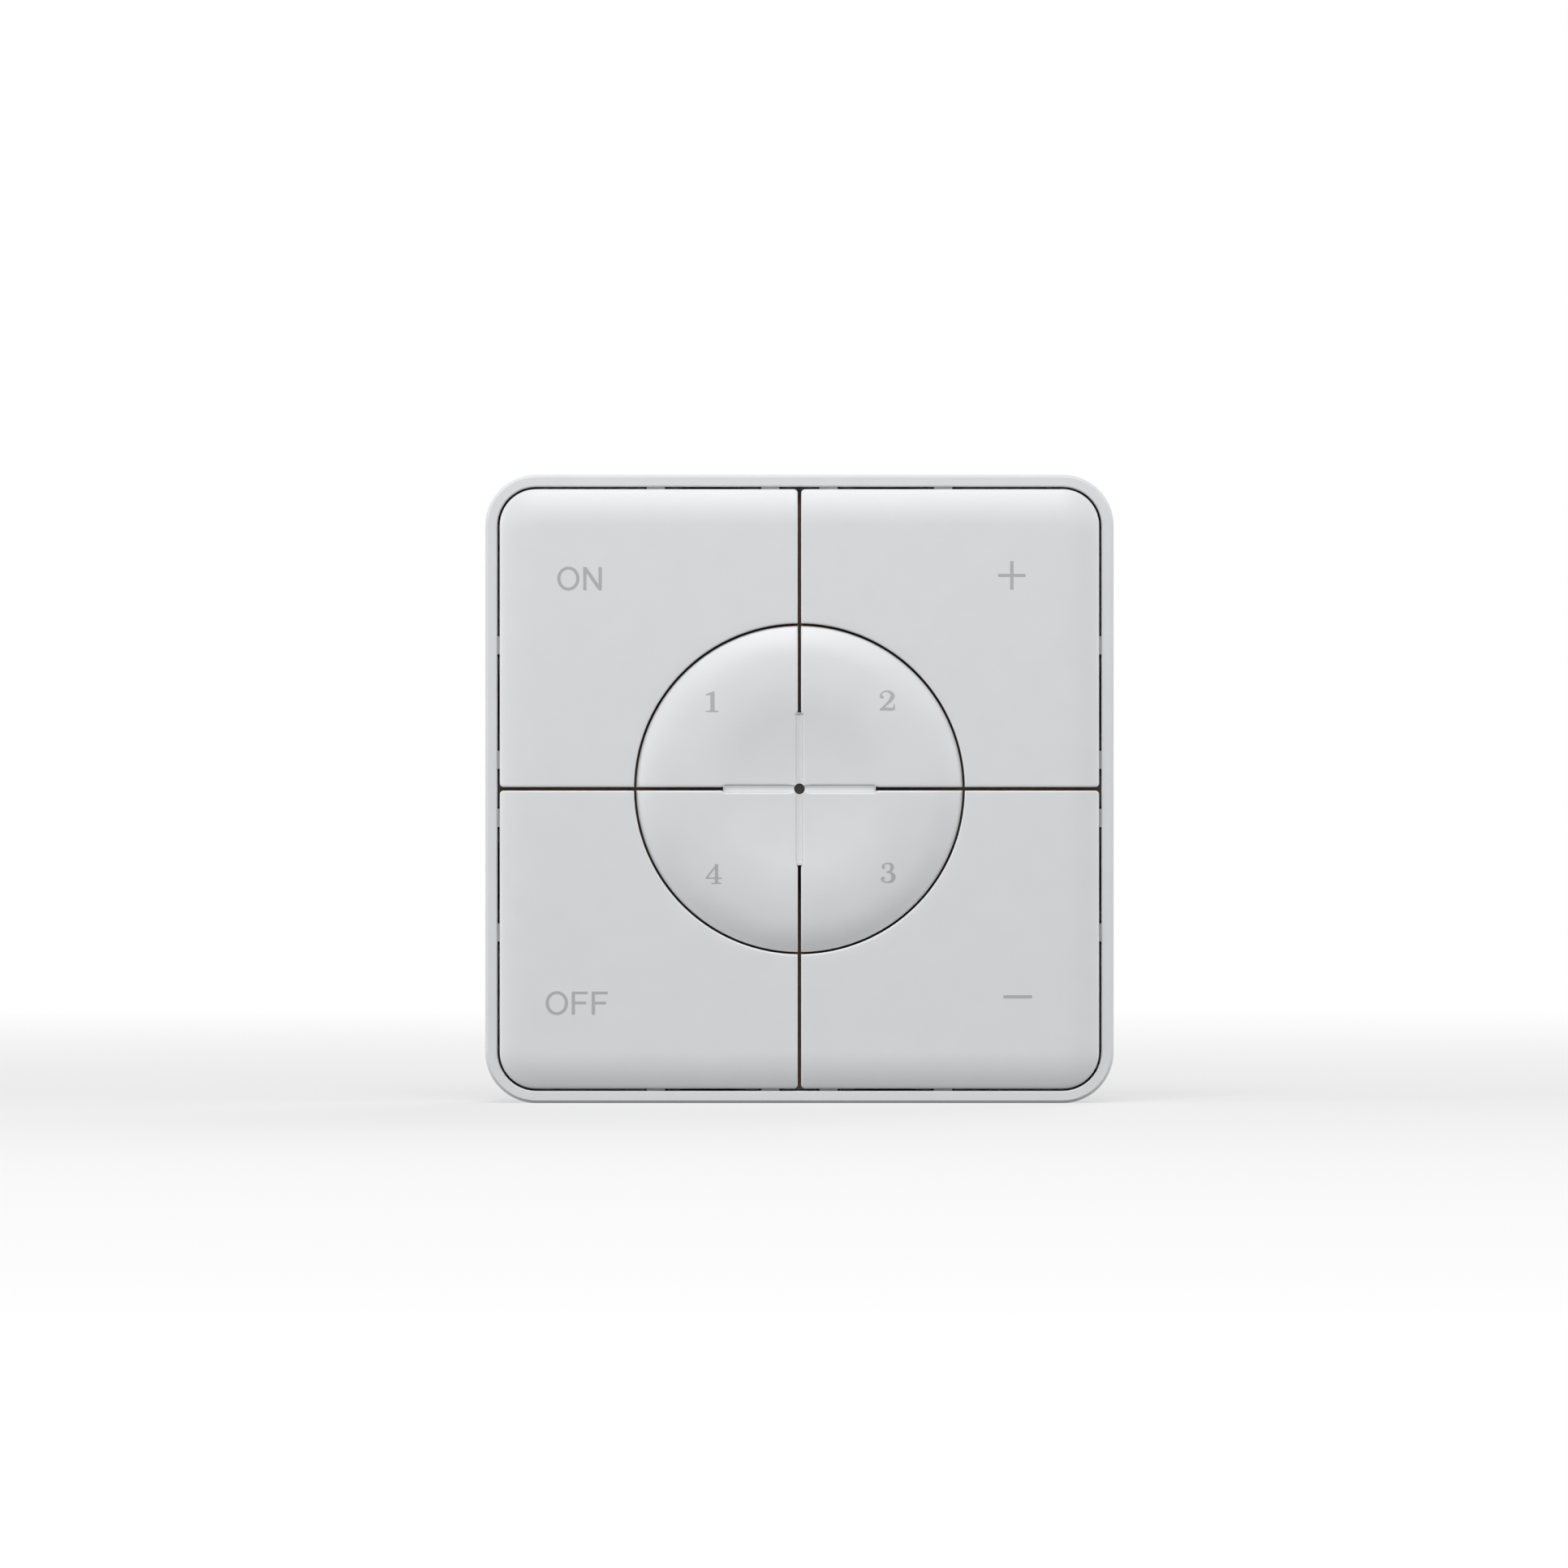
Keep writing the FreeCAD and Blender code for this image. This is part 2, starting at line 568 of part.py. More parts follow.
def make_battery_cover():
    """The round cover of the battery well, with a coin slot in its back."""
    body = new_body("battery_cover")
    outline = front_sketch(body, "cover_outline", cover_back)
    draw_circle(outline, "0", "0", "Sizes.cover_radius")
    pad(body, outline, "Sizes.cover_thickness")
    slot = front_sketch(body, "coin_slot", cover_back)
    end = "(Sizes.coin_slot_length / 2 - Sizes.coin_slot_width / 2)"
    draw_slot(slot, (signed(-1, end), "0"), (end, "0"), "(Sizes.coin_slot_width / 2)")
    pocket_forward(body, slot, "Sizes.coin_slot_depth")


def make_coin_cell():
    """The coin cell: a can with a smaller cap towards the board."""
    body = new_body("coin_cell")
    can = front_sketch(body, "cell_can", cell_back)
    draw_circle(can, "0", "0", "Sizes.cell_radius")
    canned = pad(body, can, "Sizes.cell_height - Sizes.cell_cap_height")
    names = edges_where(canned, lambda edge: lies_at(edge, cell_back))
    bevel(body, canned, names, "Sizes.cell_edge")
    cap = front_sketch(body, "cell_cap", f"{cell_front} - Sizes.cell_cap_height")
    draw_circle(cap, "0", "0", cell_cap_radius)
    pad(body, cap, "Sizes.cell_cap_height")


def side_strip(label, corners):
    """A bent strip: its side view, seen from above, grown up and down alike."""
    body = new_body(label)
    view = sketch_on(body, f"{label}_view", "XY_Plane", "0")
    draw(view, [(x, f"-({distance})") for x, distance in corners])
    strip = pad(body, view, "Sizes.contact_width")
    strip.Midplane = True


def make_contacts():
    """The two battery contacts, soldered to the board's back."""
    gauge = "Sizes.contact_thickness"
    foot_end = f"({cell_cap_radius} - Sizes.contact_inset)"
    foot = f"({foot_end} - Sizes.contact_foot)"
    touch = "Sizes.contact_tip"
    touch_front = f"({cell_front} + {gauge})"
    foot_back = f"({board_back} - {gauge})"
    front_line = [(foot_end, board_back), (foot, board_back), (touch, touch_front)]
    back_line = [(touch, cell_front), (foot, foot_back), (foot_end, foot_back)]
    mirrored = [(f"-{x}", distance) for x, distance in reversed(front_line)]
    mirrored_back = [(f"-{x}", distance) for x, distance in reversed(back_line)]
    side_strip("negative_contact", front_line + mirrored + mirrored_back + back_line)

    side = "(Sizes.cell_radius + Sizes.contact_gap)"
    low = f"({cell_back} + Sizes.cell_edge)"
    side_strip("positive_contact", [
        (side, low), (f"({side} + {gauge})", low),
        (f"({side} + {gauge})", foot_back),
        (f"({side} + Sizes.contact_foot)", foot_back),
        (f"({side} + Sizes.contact_foot)", board_back), (side, board_back),
    ])


def make_board():
    """The circuit board and the parts that stand on it."""
    body = new_body("circuit_board")
    outline = front_sketch(body, "board_outline", board_back)
    draw_rounded_square(outline, board_half, "Sizes.board_corner")
    pad(body, outline, "Sizes.board_thickness")

    radio = new_body("radio_module")
    can = front_sketch(radio, "radio_outline", board_back)
    draw_box(can, "-Sizes.radio_width / 2", radio_low, "Sizes.radio_width / 2", radio_high)
    pad_back(radio, can, "Sizes.radio_thickness")

    led = new_body("indicator_led")
    chip = front_sketch(led, "led_outline", board_front)
    draw_box(chip, "-Sizes.led_width / 2", "-Sizes.led_height / 2",
             "Sizes.led_width / 2", "Sizes.led_height / 2")
    pad(led, chip, "Sizes.led_thickness")


def make_switch(label, x, z):
    """One tactile switch: its body on the board and the plunger that its key presses."""
    body = new_body(f"switch_{label}")
    case = front_sketch(body, f"case_{label}", board_front)
    draw_square(case, x, z, "Sizes.switch_side")
    pad(body, case, "Sizes.switch_height")
    bore = front_sketch(body, f"bore_{label}", switch_front)
    draw_square(bore, x, z, "(Sizes.plunger_width + 2 * Sizes.running_gap)")
    pocket(body, bore, "Sizes.plunger_grip + Sizes.plunger_rise")

    plunger = new_body(f"plunger_{label}")
    button = front_sketch(plunger, f"button_{label}", f"{switch_front} - Sizes.plunger_grip")
    draw_square(button, x, z, "Sizes.plunger_width")
    pad(plunger, button, "Sizes.plunger_grip + Sizes.plunger_rise")


def make_deck():
    """The dark deck between board and keys, with windows for switches and pins."""
    body = new_body("key_deck")
    outline = front_sketch(body, "deck_outline", deck_back)
    draw_rounded_square(outline, deck_half, deck_corner)
    pad(body, outline, "Sizes.deck_thickness")
    windows = front_sketch(body, "deck_windows", deck_front)
    window = "(Sizes.switch_side + 2 * Sizes.window_play)"
    hole = "(Sizes.pin_width + 2 * Sizes.running_gap)"
    for across, up, _, _ in QUARTERS:
        for place in (key_switch_place, disc_switch_place):
            draw_square(windows, signed(across, place), signed(up, place), window)
        for x, z in (("Sizes.pin_near", pin_far), (pin_far, "Sizes.pin_near")):
            draw_square(windows, signed(across, x), signed(up, z), hole)
    draw_circle(windows, "0", "0", "(Sizes.spigot_radius + Sizes.running_gap)")
    pocket(body, windows, "Sizes.deck_thickness")


def make_frame():
    """The outer frame: a thin square skirt that holds the keys' lugs under its rim."""
    body = new_body("outer_frame")
    outline = front_sketch(body, "frame_outline", "Sizes.frame_lift")
    draw_rounded_square(outline, frame_half, "Sizes.frame_corner")
    draw_rounded_square(outline, opening_half, opening_corner)
    ring = pad(body, outline, f"{frame_front} - Sizes.frame_lift")
    between = number(f"{frame_half} - Sizes.frame_wall / 2")

    def is_outer(edge):
        box = edge.BoundBox
        reach = max(abs(box.XMin), abs(box.XMax), abs(box.ZMin), abs(box.ZMax))
        return lies_at(edge, frame_front) and reach > between

    def is_inner(edge):
        return lies_at(edge, frame_front) and not is_outer(edge)

    bevelled = bevel(body, ring, edges_where(ring, is_outer), "Sizes.frame_edge")
    bevel(body, bevelled, edges_where(bevelled, is_inner), "Sizes.frame_lip")

    grooves = front_sketch(body, "lug_grooves", "Sizes.frame_lift")
    near = f"({opening_half} - Sizes.lug_play)"
    far = f"({key_half} + Sizes.lug_reach + Sizes.lug_play / 2)"
    half = "(Sizes.lug_width / 2 + Sizes.lug_play)"
    for side in (-1, 1):
        for along in (-1, 1):
            for place in ("Sizes.lug_near", "Sizes.lug_far"):
                centre = signed(along, place)
                low, high = f"{centre} - {half}", f"{centre} + {half}"
                draw_box(grooves, signed(side, near), low, signed(side, far), high)
                draw_box(grooves, low, signed(side, near), high, signed(side, far))
    pocket_forward(body, grooves, f"{lug_front} + Sizes.lug_seat - Sizes.frame_lift")

    catches = front_sketch(body, "catch_ribs", housing_back)
    tip = f"({opening_half} - Sizes.catch_depth)"
    for side in (-1, 1):
        for along in (-1, 1):
            centre = signed(along, "(Sizes.lug_near + Sizes.lug_far) / 2")
            low = f"({centre} - Sizes.catch_length / 2)"
            high = f"({centre} + Sizes.catch_length / 2)"
            draw_box(catches, signed(side, tip), low, signed(side, opening_half), high)
            draw_box(catches, low, signed(side, tip), high, signed(side, opening_half))
    pad_back(body, catches, "Sizes.catch_height")


def key_outline(across, up, inset):
    """Corners and arcs of a corner key's front view, drawn in by an inset."""
    side = f"({key_side} + {inset})"
    half = f"({key_half} - {inset})"
    corner = f"({key_corner} - {inset})"
    bore = f"({key_bore} + {inset})"
    meet = f"sqrt({bore} ^ 2 - {side} ^ 2)"
    flat = f"({half} - {corner})"
    quarter = [(meet, side), (half, side), (half, flat), (flat, half), (side, half),
               (side, meet)]
    corners = [(signed(across, x), signed(up, z)) for x, z in quarter]
    turn = across * up
    return corners, {2: (corner, turn), 5: (bore, -turn)}


def crown_form(label):
    """A wide slab with a soft front edge, whose middle shapes a key's pillow."""
    body = doc.addObject("PartDesign::Body", label)
    spread = f"({key_half} + Sizes.crown_radius - Sizes.crown_width)"
    slab_depth = "(2 * Sizes.crown_radius)"
    outline = front_sketch(body, f"{label}_outline", f"{key_front} - {slab_depth}")
    draw_rounded_square(outline, spread, "(Sizes.crown_radius + Sizes.crown_corner)")
    slab = pad(body, outline, slab_depth)
    names = edges_where(slab, lambda edge: lies_at(edge, key_front))
    fillet(body, slab, names, "Sizes.crown_radius")
    return body


def make_corner_key(across, up, label):
    """A corner key: pillowed face, hollow back, stem, guide pins and retaining lugs."""
    body = new_body(label)
    outline = front_sketch(body, f"{label}_outline", skirt_back)
    corners, arcs = key_outline(across, up, "0")
    draw(outline, corners, arcs)
    block = pad(body, outline, f"{key_front} - {skirt_back}")
    tip = (number(key_side), number(key_half))

    def is_tip(edge):
        x, _, z = middle(edge)
        near, far = sorted((abs(x), abs(z)))
        return math.dist((near, far), tip) < CLOSE

    tipped = fillet(body, block, edges_where(block, is_tip), "Sizes.key_tip")
    pillow = body.newObject("PartDesign::Boolean", f"{label}_pillow")
    pillow.setObjects([crown_form(f"{label}_crown")])
    pillow.Type = "Common"
    level = number(key_roof)

    def is_front(edge):
        faces = pillow.Shape.ancestorsOfType(edge, Part.Face)
        upright = [face for face in faces if abs(front_slope(face)) < CLOSE]
        return len(upright) == 1 and -edge.BoundBox.YMax > level

    bevel(body, pillow, edges_where(pillow, is_front), "Sizes.key_edge")

    hollow = front_sketch(body, f"{label}_hollow", skirt_back)
    corners, arcs = key_outline(across, up, "Sizes.key_wall")
    draw(hollow, corners, arcs)
    pocket_forward(body, hollow, "Sizes.key_skirt")

    stem = front_sketch(body, f"{label}_stem", key_roof)
    draw_square(stem, signed(across, key_switch_place), signed(up, key_switch_place),
                "Sizes.stem_width")
    pad_back(body, stem, f"{key_roof} - {plunger_front} - Sizes.stem_gap")
    pins = front_sketch(body, f"{label}_pins", key_roof)
    for x, z in (("Sizes.pin_near", pin_far), (pin_far, "Sizes.pin_near")):
        draw_square(pins, signed(across, x), signed(up, z), "Sizes.pin_width")
    pad_back(body, pins, "Sizes.pin_length")

    lugs = front_sketch(body, f"{label}_lugs", skirt_back)
    near = f"({key_half} - Sizes.key_wall / 2)"
    far = f"({key_half} + Sizes.lug_reach)"
    for spot in ("Sizes.lug_near", "Sizes.lug_far"):
        low = f"({spot} - Sizes.lug_width / 2)"
        high = f"({spot} + Sizes.lug_width / 2)"
        draw_box(lugs, signed(across, near), signed(up, low),
                 signed(across, far), signed(up, high))
        draw_box(lugs, signed(across, low), signed(up, near),
                 signed(across, high), signed(up, far))
    pad(body, lugs, "Sizes.lug_thickness")


def disc_section(sketch):
    """Half section of the disc: hollow, crest, rolled rim, skirt and flat back."""
    inner = "(Sizes.disc_radius - Sizes.disc_wall)"
    skirt = f"({disc_back} - Sizes.disc_skirt)"
    section = [
        ("0", hollow_centre_front), (hollow_edge, hollow_edge_front),
        (roll_start, roll_front), ("Sizes.disc_radius", rim_front),
        ("Sizes.disc_radius", skirt), (inner, skirt), (inner, disc_back), ("0", disc_back),
    ]
    corners = [(radius, f"-({distance})") for radius, distance in section]
    arcs = {0: ("Sizes.dish_radius", -1), 1: ("Sizes.crest_round", 1),
            2: ("Sizes.roll_round", 1)}
    draw(sketch, corners, arcs)


def make_disc_key(across, up, label):
    """A quarter of the disc, between two slots, with the stem that presses its switch."""
    body = new_body(label)
    section = sketch_on(body, f"{label}_section", "XY_Plane", "0")
    disc_section(section)
    revolve(body, section)
    keep = front_sketch(body, f"{label}_keep", above_disc)
    draw_circle(keep, "0", "0", around_disc)
    groove = "(Sizes.groove_width / 2)"
    slot = "(Sizes.disc_slot / 2)"
    quarter = [
        (groove, groove), (slot_end, groove), (slot_end, slot), (key_bore, slot),
        (key_bore, key_bore), (slot, key_bore), (slot, slot_end), (groove, slot_end),
    ]
    draw(keep, [(signed(across, x), signed(up, z)) for x, z in quarter])
    pocket(body, keep, through_disc)
    eye = front_sketch(body, f"{label}_eye", above_disc)
    draw_circle(eye, "0", "0", eye_radius)
    pocket(body, eye, through_disc)
    stem = front_sketch(body, f"{label}_stem", disc_back)
    draw_square(stem, signed(across, disc_switch_place), signed(up, disc_switch_place),
                "Sizes.stem_width")
    pad_back(body, stem, f"{disc_back} - {plunger_front} - Sizes.stem_gap")


def make_hub():
    """The disc's middle: the grooved cross between its keys, on a post in the deck."""
    body = new_body("disc_hub")
    section = sketch_on(body, "hub_section", "XY_Plane", "0")
    corners = [
        ("0", f"-({hollow_centre_front})"), (hollow_edge, f"-({hollow_edge_front})"),
        (roll_start, f"-({roll_front})"), (roll_start, f"-({hub_back})"),
        ("0", f"-({hub_back})"),
    ]
    draw(section, corners, {0: ("Sizes.dish_radius", -1), 1: ("Sizes.crest_round", 1)})
    revolve(body, section)
    keep = front_sketch(body, "hub_keep", above_disc)
    draw_circle(keep, "0", "0", around_disc)
    half = "(Sizes.groove_width / 2)"
    end = slot_end
    cross = [
        (end, signed(-1, half)), (end, half), (half, half), (half, end),
        (signed(-1, half), end), (signed(-1, half), half), (signed(-1, end), half),
        (signed(-1, end), signed(-1, half)), (signed(-1, half), signed(-1, half)),
        (signed(-1, half), signed(-1, end)), (half, signed(-1, end)),
        (half, signed(-1, half)),
    ]
    draw(keep, cross)
    pocket(body, keep, through_disc)

    floor = sketch_on(body, "groove_section", "XY_Plane", "0")
    lip = f"({slot_end} - Sizes.groove_lip)"
    lip_front = (
        f"({hollow_centre_front} + Sizes.dish_radius"
        f" - sqrt(Sizes.dish_radius ^ 2 - {lip} ^ 2) - Sizes.groove_depth)"
    )
    low = f"({hollow_centre_front} - Sizes.groove_depth)"
    draw(floor, [("0", f"-{low}"), (lip, f"-{lip_front}"), (lip, f"-{above_disc}"),
                 ("0", f"-{above_disc}")], {0: ("Sizes.dish_radius", -1)})
    revolve(body, floor, "PartDesign::Groove")

    post = front_sketch(body, "hub_post", deck_front)
    draw_circle(post, "0", "0", "Sizes.hub_radius")
    pad(body, post, f"{hub_back} - {deck_front}")
    spigot = front_sketch(body, "hub_spigot", deck_front)
    draw_circle(spigot, "0", "0", "Sizes.spigot_radius")
    pad_back(body, spigot, "Sizes.deck_thickness")
    hole = front_sketch(body, "hub_hole", deck_back)
    draw_circle(hole, "0", "0", eye_radius)
    pocket_forward(body, hole, f"{crest_front} - {deck_back}")


def make_light_pipe():
    """The clear rod that carries the indicator's light to the middle of the disc."""
    body = new_body("light_pipe")
    rod = front_sketch(body, "pipe_rod", deck_back)
    draw_circle(rod, "0", "0", "Sizes.pipe_radius")
    pad(body, rod, f"{hollow_centre_front} - Sizes.pipe_sink - {deck_back}")
    foot = front_sketch(body, "pipe_foot_outline", deck_back)
    draw_circle(foot, "0", "0", "Sizes.pipe_foot_radius")
    pad_back(body, foot, "Sizes.pipe_foot")


make_wall_plate()
make_rear_housing()
make_battery_cover()
make_coin_cell()
make_contacts()
make_board()
make_deck()
make_frame()
for across, up, corner_label, disc_label in QUARTERS:
    make_corner_key(across, up, corner_label)
    make_disc_key(across, up, disc_label)
    make_switch(corner_label.replace("key_", ""), signed(across, key_switch_place),
                signed(up, key_switch_place))
    make_switch(disc_label.replace("disc_key_", ""), signed(across, disc_switch_place),
                signed(up, disc_switch_place))
make_hub()
make_light_pipe()
doc.recompute()

# Nothing is written before every object has been looked at
faulty = [item.Label for item in doc.Objects if {"Invalid", "Error"} & set(item.State)]
if faulty:
    raise RuntimeError("failed objects: " + ", ".join(faulty))
for part in parts:
    if part.Shape.isNull() or not part.Shape.isValid() or len(part.Shape.Solids) != 1:
        raise RuntimeError(f"{part.Label} is not one sound solid")

os.makedirs("parts", exist_ok=True)
for part in parts:
    part.Shape.exportStep(f"parts/{part.Label}.step")
    print(part.Label, round(part.Shape.Volume, 3))
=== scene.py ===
# %% [markdown]
# A wireless wall switch hangs on a wall and sends its presses by radio. It has a thin
# square frame, four corner keys with softly rolled outer edges, and a dished disc that
# slots cut into four more keys. This lesson dresses the measured CAD model of it: the
# pieces whose soft edges catch the light are made again here with finer surfaces, the
# printed signs are added, and every piece gets a plastic or a metal of its own.

import math

import bmesh
import bpy
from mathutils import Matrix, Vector


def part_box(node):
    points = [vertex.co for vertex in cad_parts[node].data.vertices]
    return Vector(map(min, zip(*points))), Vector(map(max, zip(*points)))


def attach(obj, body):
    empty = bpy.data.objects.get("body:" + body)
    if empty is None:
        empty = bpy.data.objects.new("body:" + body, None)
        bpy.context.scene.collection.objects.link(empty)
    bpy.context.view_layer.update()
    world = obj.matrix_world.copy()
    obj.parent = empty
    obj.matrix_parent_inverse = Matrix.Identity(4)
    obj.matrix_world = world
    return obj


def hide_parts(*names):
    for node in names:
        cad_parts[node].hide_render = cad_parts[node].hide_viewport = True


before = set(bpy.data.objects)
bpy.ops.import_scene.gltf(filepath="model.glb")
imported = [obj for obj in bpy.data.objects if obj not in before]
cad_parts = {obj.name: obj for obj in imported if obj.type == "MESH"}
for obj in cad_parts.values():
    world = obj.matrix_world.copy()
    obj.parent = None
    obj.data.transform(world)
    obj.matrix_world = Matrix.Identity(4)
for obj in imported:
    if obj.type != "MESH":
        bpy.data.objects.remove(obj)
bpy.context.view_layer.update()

# %% [markdown]
# Everything is measured from the CAD nodes, in metres. The wall is the plane y = 0 and
# the viewer looks along +y, so a level is a distance in front of the wall, and a point
# at that level has y = -level. A quarter is one corner of the front, given by the signs
# of its x and z, and holds one corner key and one key of the disc.

# %% Sizes that the front's pieces share
MM = 0.001
frame_low, frame_high = (Vector(corner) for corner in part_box("outer_frame"))
key_low, key_high = (Vector(corner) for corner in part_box("key_plus"))
disc_low, disc_high = (Vector(corner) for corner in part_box("disc_key_2"))

FRAME_HALF = frame_high.x
FRAME_FRONT = -frame_low.y
FRAME_WALL = 1.55 * MM
KEY_GAP = 0.31 * MM
KEY_HALF = FRAME_HALF - FRAME_WALL - KEY_GAP
KEY_FRONT = -key_low.y
CROSS_HALF = key_low.x
DISC_RADIUS = disc_high.x
CREST_FRONT = -disc_low.y
QUARTERS = {
    "on": (-1, 1, "disc_key_1"),
    "plus": (1, 1, "disc_key_2"),
    "minus": (1, -1, "disc_key_3"),
    "off": (-1, -1, "disc_key_4"),
}
print("half a side of the keys", round(KEY_HALF / MM, 3), "mm")
print("levels of keys and crest", round(KEY_FRONT / MM, 3), round(CREST_FRONT / MM, 3), "mm")

# %% [markdown]
# Materials and shapes both need formulas, and formulas made of nodes are hard to read.
# So a small helper class lets Python's own signs place the Math nodes, in the trees of
# materials as well as in those of Geometry Nodes. Two functions take a vector apart into
# such numbers and put it together again, and a third sets the inputs of a node.


# %% Formulas in nodes
class Field:
    """A number in a node tree, which can be added, multiplied and compared."""

    def __init__(self, tree, socket):
        self.tree = tree
        self.socket = socket

    def with_node(self, operation, *values):
        """The result of one Math node on this number and others."""
        node = self.tree.nodes.new("ShaderNodeMath")
        node.operation = operation
        for place, value in enumerate((self, *values)):
            if isinstance(value, Field):
                self.tree.links.new(value.socket, node.inputs[place])
            else:
                node.inputs[place].default_value = value
        return Field(self.tree, node.outputs["Value"])

    def __add__(self, other):
        return self.with_node("ADD", other)

    def __sub__(self, other):
        return self.with_node("SUBTRACT", other)

    def __mul__(self, other):
        return self.with_node("MULTIPLY", other)

    def __truediv__(self, other):
        return self.with_node("DIVIDE", other)

    def __neg__(self):
        return self * -1

    def least(self, other):
        return self.with_node("MINIMUM", other)

    def most(self, other):
        return self.with_node("MAXIMUM", other)

    def below(self, other):
        return self.with_node("LESS_THAN", other)

    def root(self):
        return self.with_node("SQRT")

    def sine(self):
        return self.with_node("SINE")

    def cosine(self):
        return self.with_node("COSINE")

    def arcsine(self):
        return self.with_node("ARCSINE")


# %% Vectors and inputs in nodes
def parts_of(tree, vector):
    """The x, y and z of a vector, as fields."""
    split = tree.nodes.new("ShaderNodeSeparateXYZ")
    tree.links.new(vector, split.inputs["Vector"])
    return [Field(tree, split.outputs[letter]) for letter in "XYZ"]


def combine(tree, x, y, z):
    """A vector from three fields or numbers."""
    node = tree.nodes.new("ShaderNodeCombineXYZ")
    for value, socket in zip((x, y, z), node.inputs):
        if isinstance(value, Field):
            tree.links.new(value.socket, socket)
        else:
            socket.default_value = value
    return node.outputs["Vector"]


def set_inputs(node, values):
    """Sets the inputs of a node that aren't linked, by their labels."""
    for label, value in values.items():
        node.inputs[label].default_value = value


# %% [markdown]
# The plastic is white, satin and very slightly uneven, as moulded plastic is: a broad
# noise shifts its tone by a few percent, and a fine one gives the grain that keeps the
# highlights soft. Both read Object coordinates, so the pattern stays on the piece
# when it moves. A photograph of plastic would do the same, but noise has no seams and
# no size.


# %% A material with its shader
def new_material(name):
    """An empty material, with its tree and its shader."""
    material = bpy.data.materials.new(name)
    material.use_nodes = True
    tree = material.node_tree
    return material, tree, tree.nodes["Principled BSDF"]


def linear(red, green, blue):
    """Display values from 0 to 255 as a linear colour."""
    shares = [value / 255 for value in (red, green, blue)]
    return [share / 12.92 if share <= 0.04045 else ((share + 0.055) / 1.055) ** 2.4
            for share in shares]


# %% Patterns and relief
RELIEF_STRENGTH = 0.15


def object_place(tree):
    """The place on the piece, which moves with it."""
    return tree.nodes.new("ShaderNodeTexCoord").outputs["Object"]


def noise(tree, place, scale, detail):
    """A noise over a place, as a field from 0 to 1."""
    node = tree.nodes.new("ShaderNodeTexNoise")
    set_inputs(node, {"Scale": scale, "Detail": detail})
    tree.links.new(place, node.inputs["Vector"])
    return Field(tree, node.outputs["Fac"])


def tint(tree, amount, first, second):
    """A colour between two, by an amount from 0 to 1."""
    node = tree.nodes.new("ShaderNodeMix")
    node.data_type = "RGBA"
    set_inputs(node, {"A": [*first, 1], "B": [*second, 1]})
    tree.links.new(amount.socket, node.inputs["Factor"])
    return node.outputs["Result"]


def relief(tree, shader, height, depth):
    """Lets a height from 0 to 1 tilt the shading."""
    node = tree.nodes.new("ShaderNodeBump")
    set_inputs(node, {"Strength": RELIEF_STRENGTH, "Distance": depth})
    tree.links.new(height.socket, node.inputs["Height"])
    tree.links.new(node.outputs["Normal"], shader.inputs["Normal"])


# %% Moulded plastic
MOTTLE = 0.03
MOTTLE_SCALE = 220
MOTTLE_DETAIL = 5
GRAIN_SCALE = 2600
GRAIN_DETAIL = 3
GRAIN_DEPTH = 0.02 * MM
GRAIN_SHEEN = 0.12


def uneven_gloss(tree, shader, roughness, unevenness, amount):
    """Roughness that an unevenness from 0 to 1 shifts by an amount."""
    gloss = (unevenness - 0.5) * amount + roughness
    tree.links.new(gloss.socket, shader.inputs["Roughness"])


def moulded_plastic(name, colour, roughness):
    """Plastic with a faint unevenness of tone and a fine grain."""
    material, tree, shader = new_material(name)
    place = object_place(tree)
    tone = noise(tree, place, MOTTLE_SCALE, MOTTLE_DETAIL)
    darker, lighter = ([value * share for value in colour] for share in (1 - MOTTLE, 1 + MOTTLE))
    tree.links.new(tint(tree, tone, darker, lighter), shader.inputs["Base Color"])
    grain = noise(tree, place, GRAIN_SCALE, GRAIN_DETAIL)
    uneven_gloss(tree, shader, roughness, grain, GRAIN_SHEEN)
    relief(tree, shader, grain, GRAIN_DEPTH)
    return material


white_plastic = moulded_plastic("white_plastic", linear(222, 223, 225), 0.45)
plate_plastic = moulded_plastic("plate_plastic", (0.68, 0.69, 0.7), 0.5)
housing_plastic = moulded_plastic("housing_plastic", (0.62, 0.63, 0.64), 0.55)
deck_plastic = moulded_plastic("dark_plastic", linear(160, 132, 114), 0.6)
# The light pipe's near-black colour is painted shade: the pipe is clear, but lies deep in a dark
# bore.
pipe_painted_shade = moulded_plastic("clear_plastic", linear(38, 34, 30), 0.3)
switch_plastic = moulded_plastic("switch_black", (0.03, 0.03, 0.03), 0.5)
plunger_plastic = moulded_plastic("plunger_plastic", (0.45, 0.43, 0.4), 0.5)
led_resin = moulded_plastic("led_resin", (0.8, 0.8, 0.7), 0.2)
sign_ink = moulded_plastic("sign_ink", linear(176, 177, 178), 0.5)
print("materials, with nine plastics:", len(bpy.data.materials))

# %% [markdown]
# Inside the switch are metal pieces. A coin cell is pressed and turned, so its finish
# runs in circles: a noise reads the distance from its axis instead of the place. Strip
# and sheet are rolled, so their finish runs in one direction: the noise reads a place
# that is pressed together across it.


# %% Metals
STREAK_SCALE = 1500
STREAK_DETAIL = 4
STREAK_SHADE = 0.85
STREAK_SHEEN = 0.3
PRESSED = 0.1


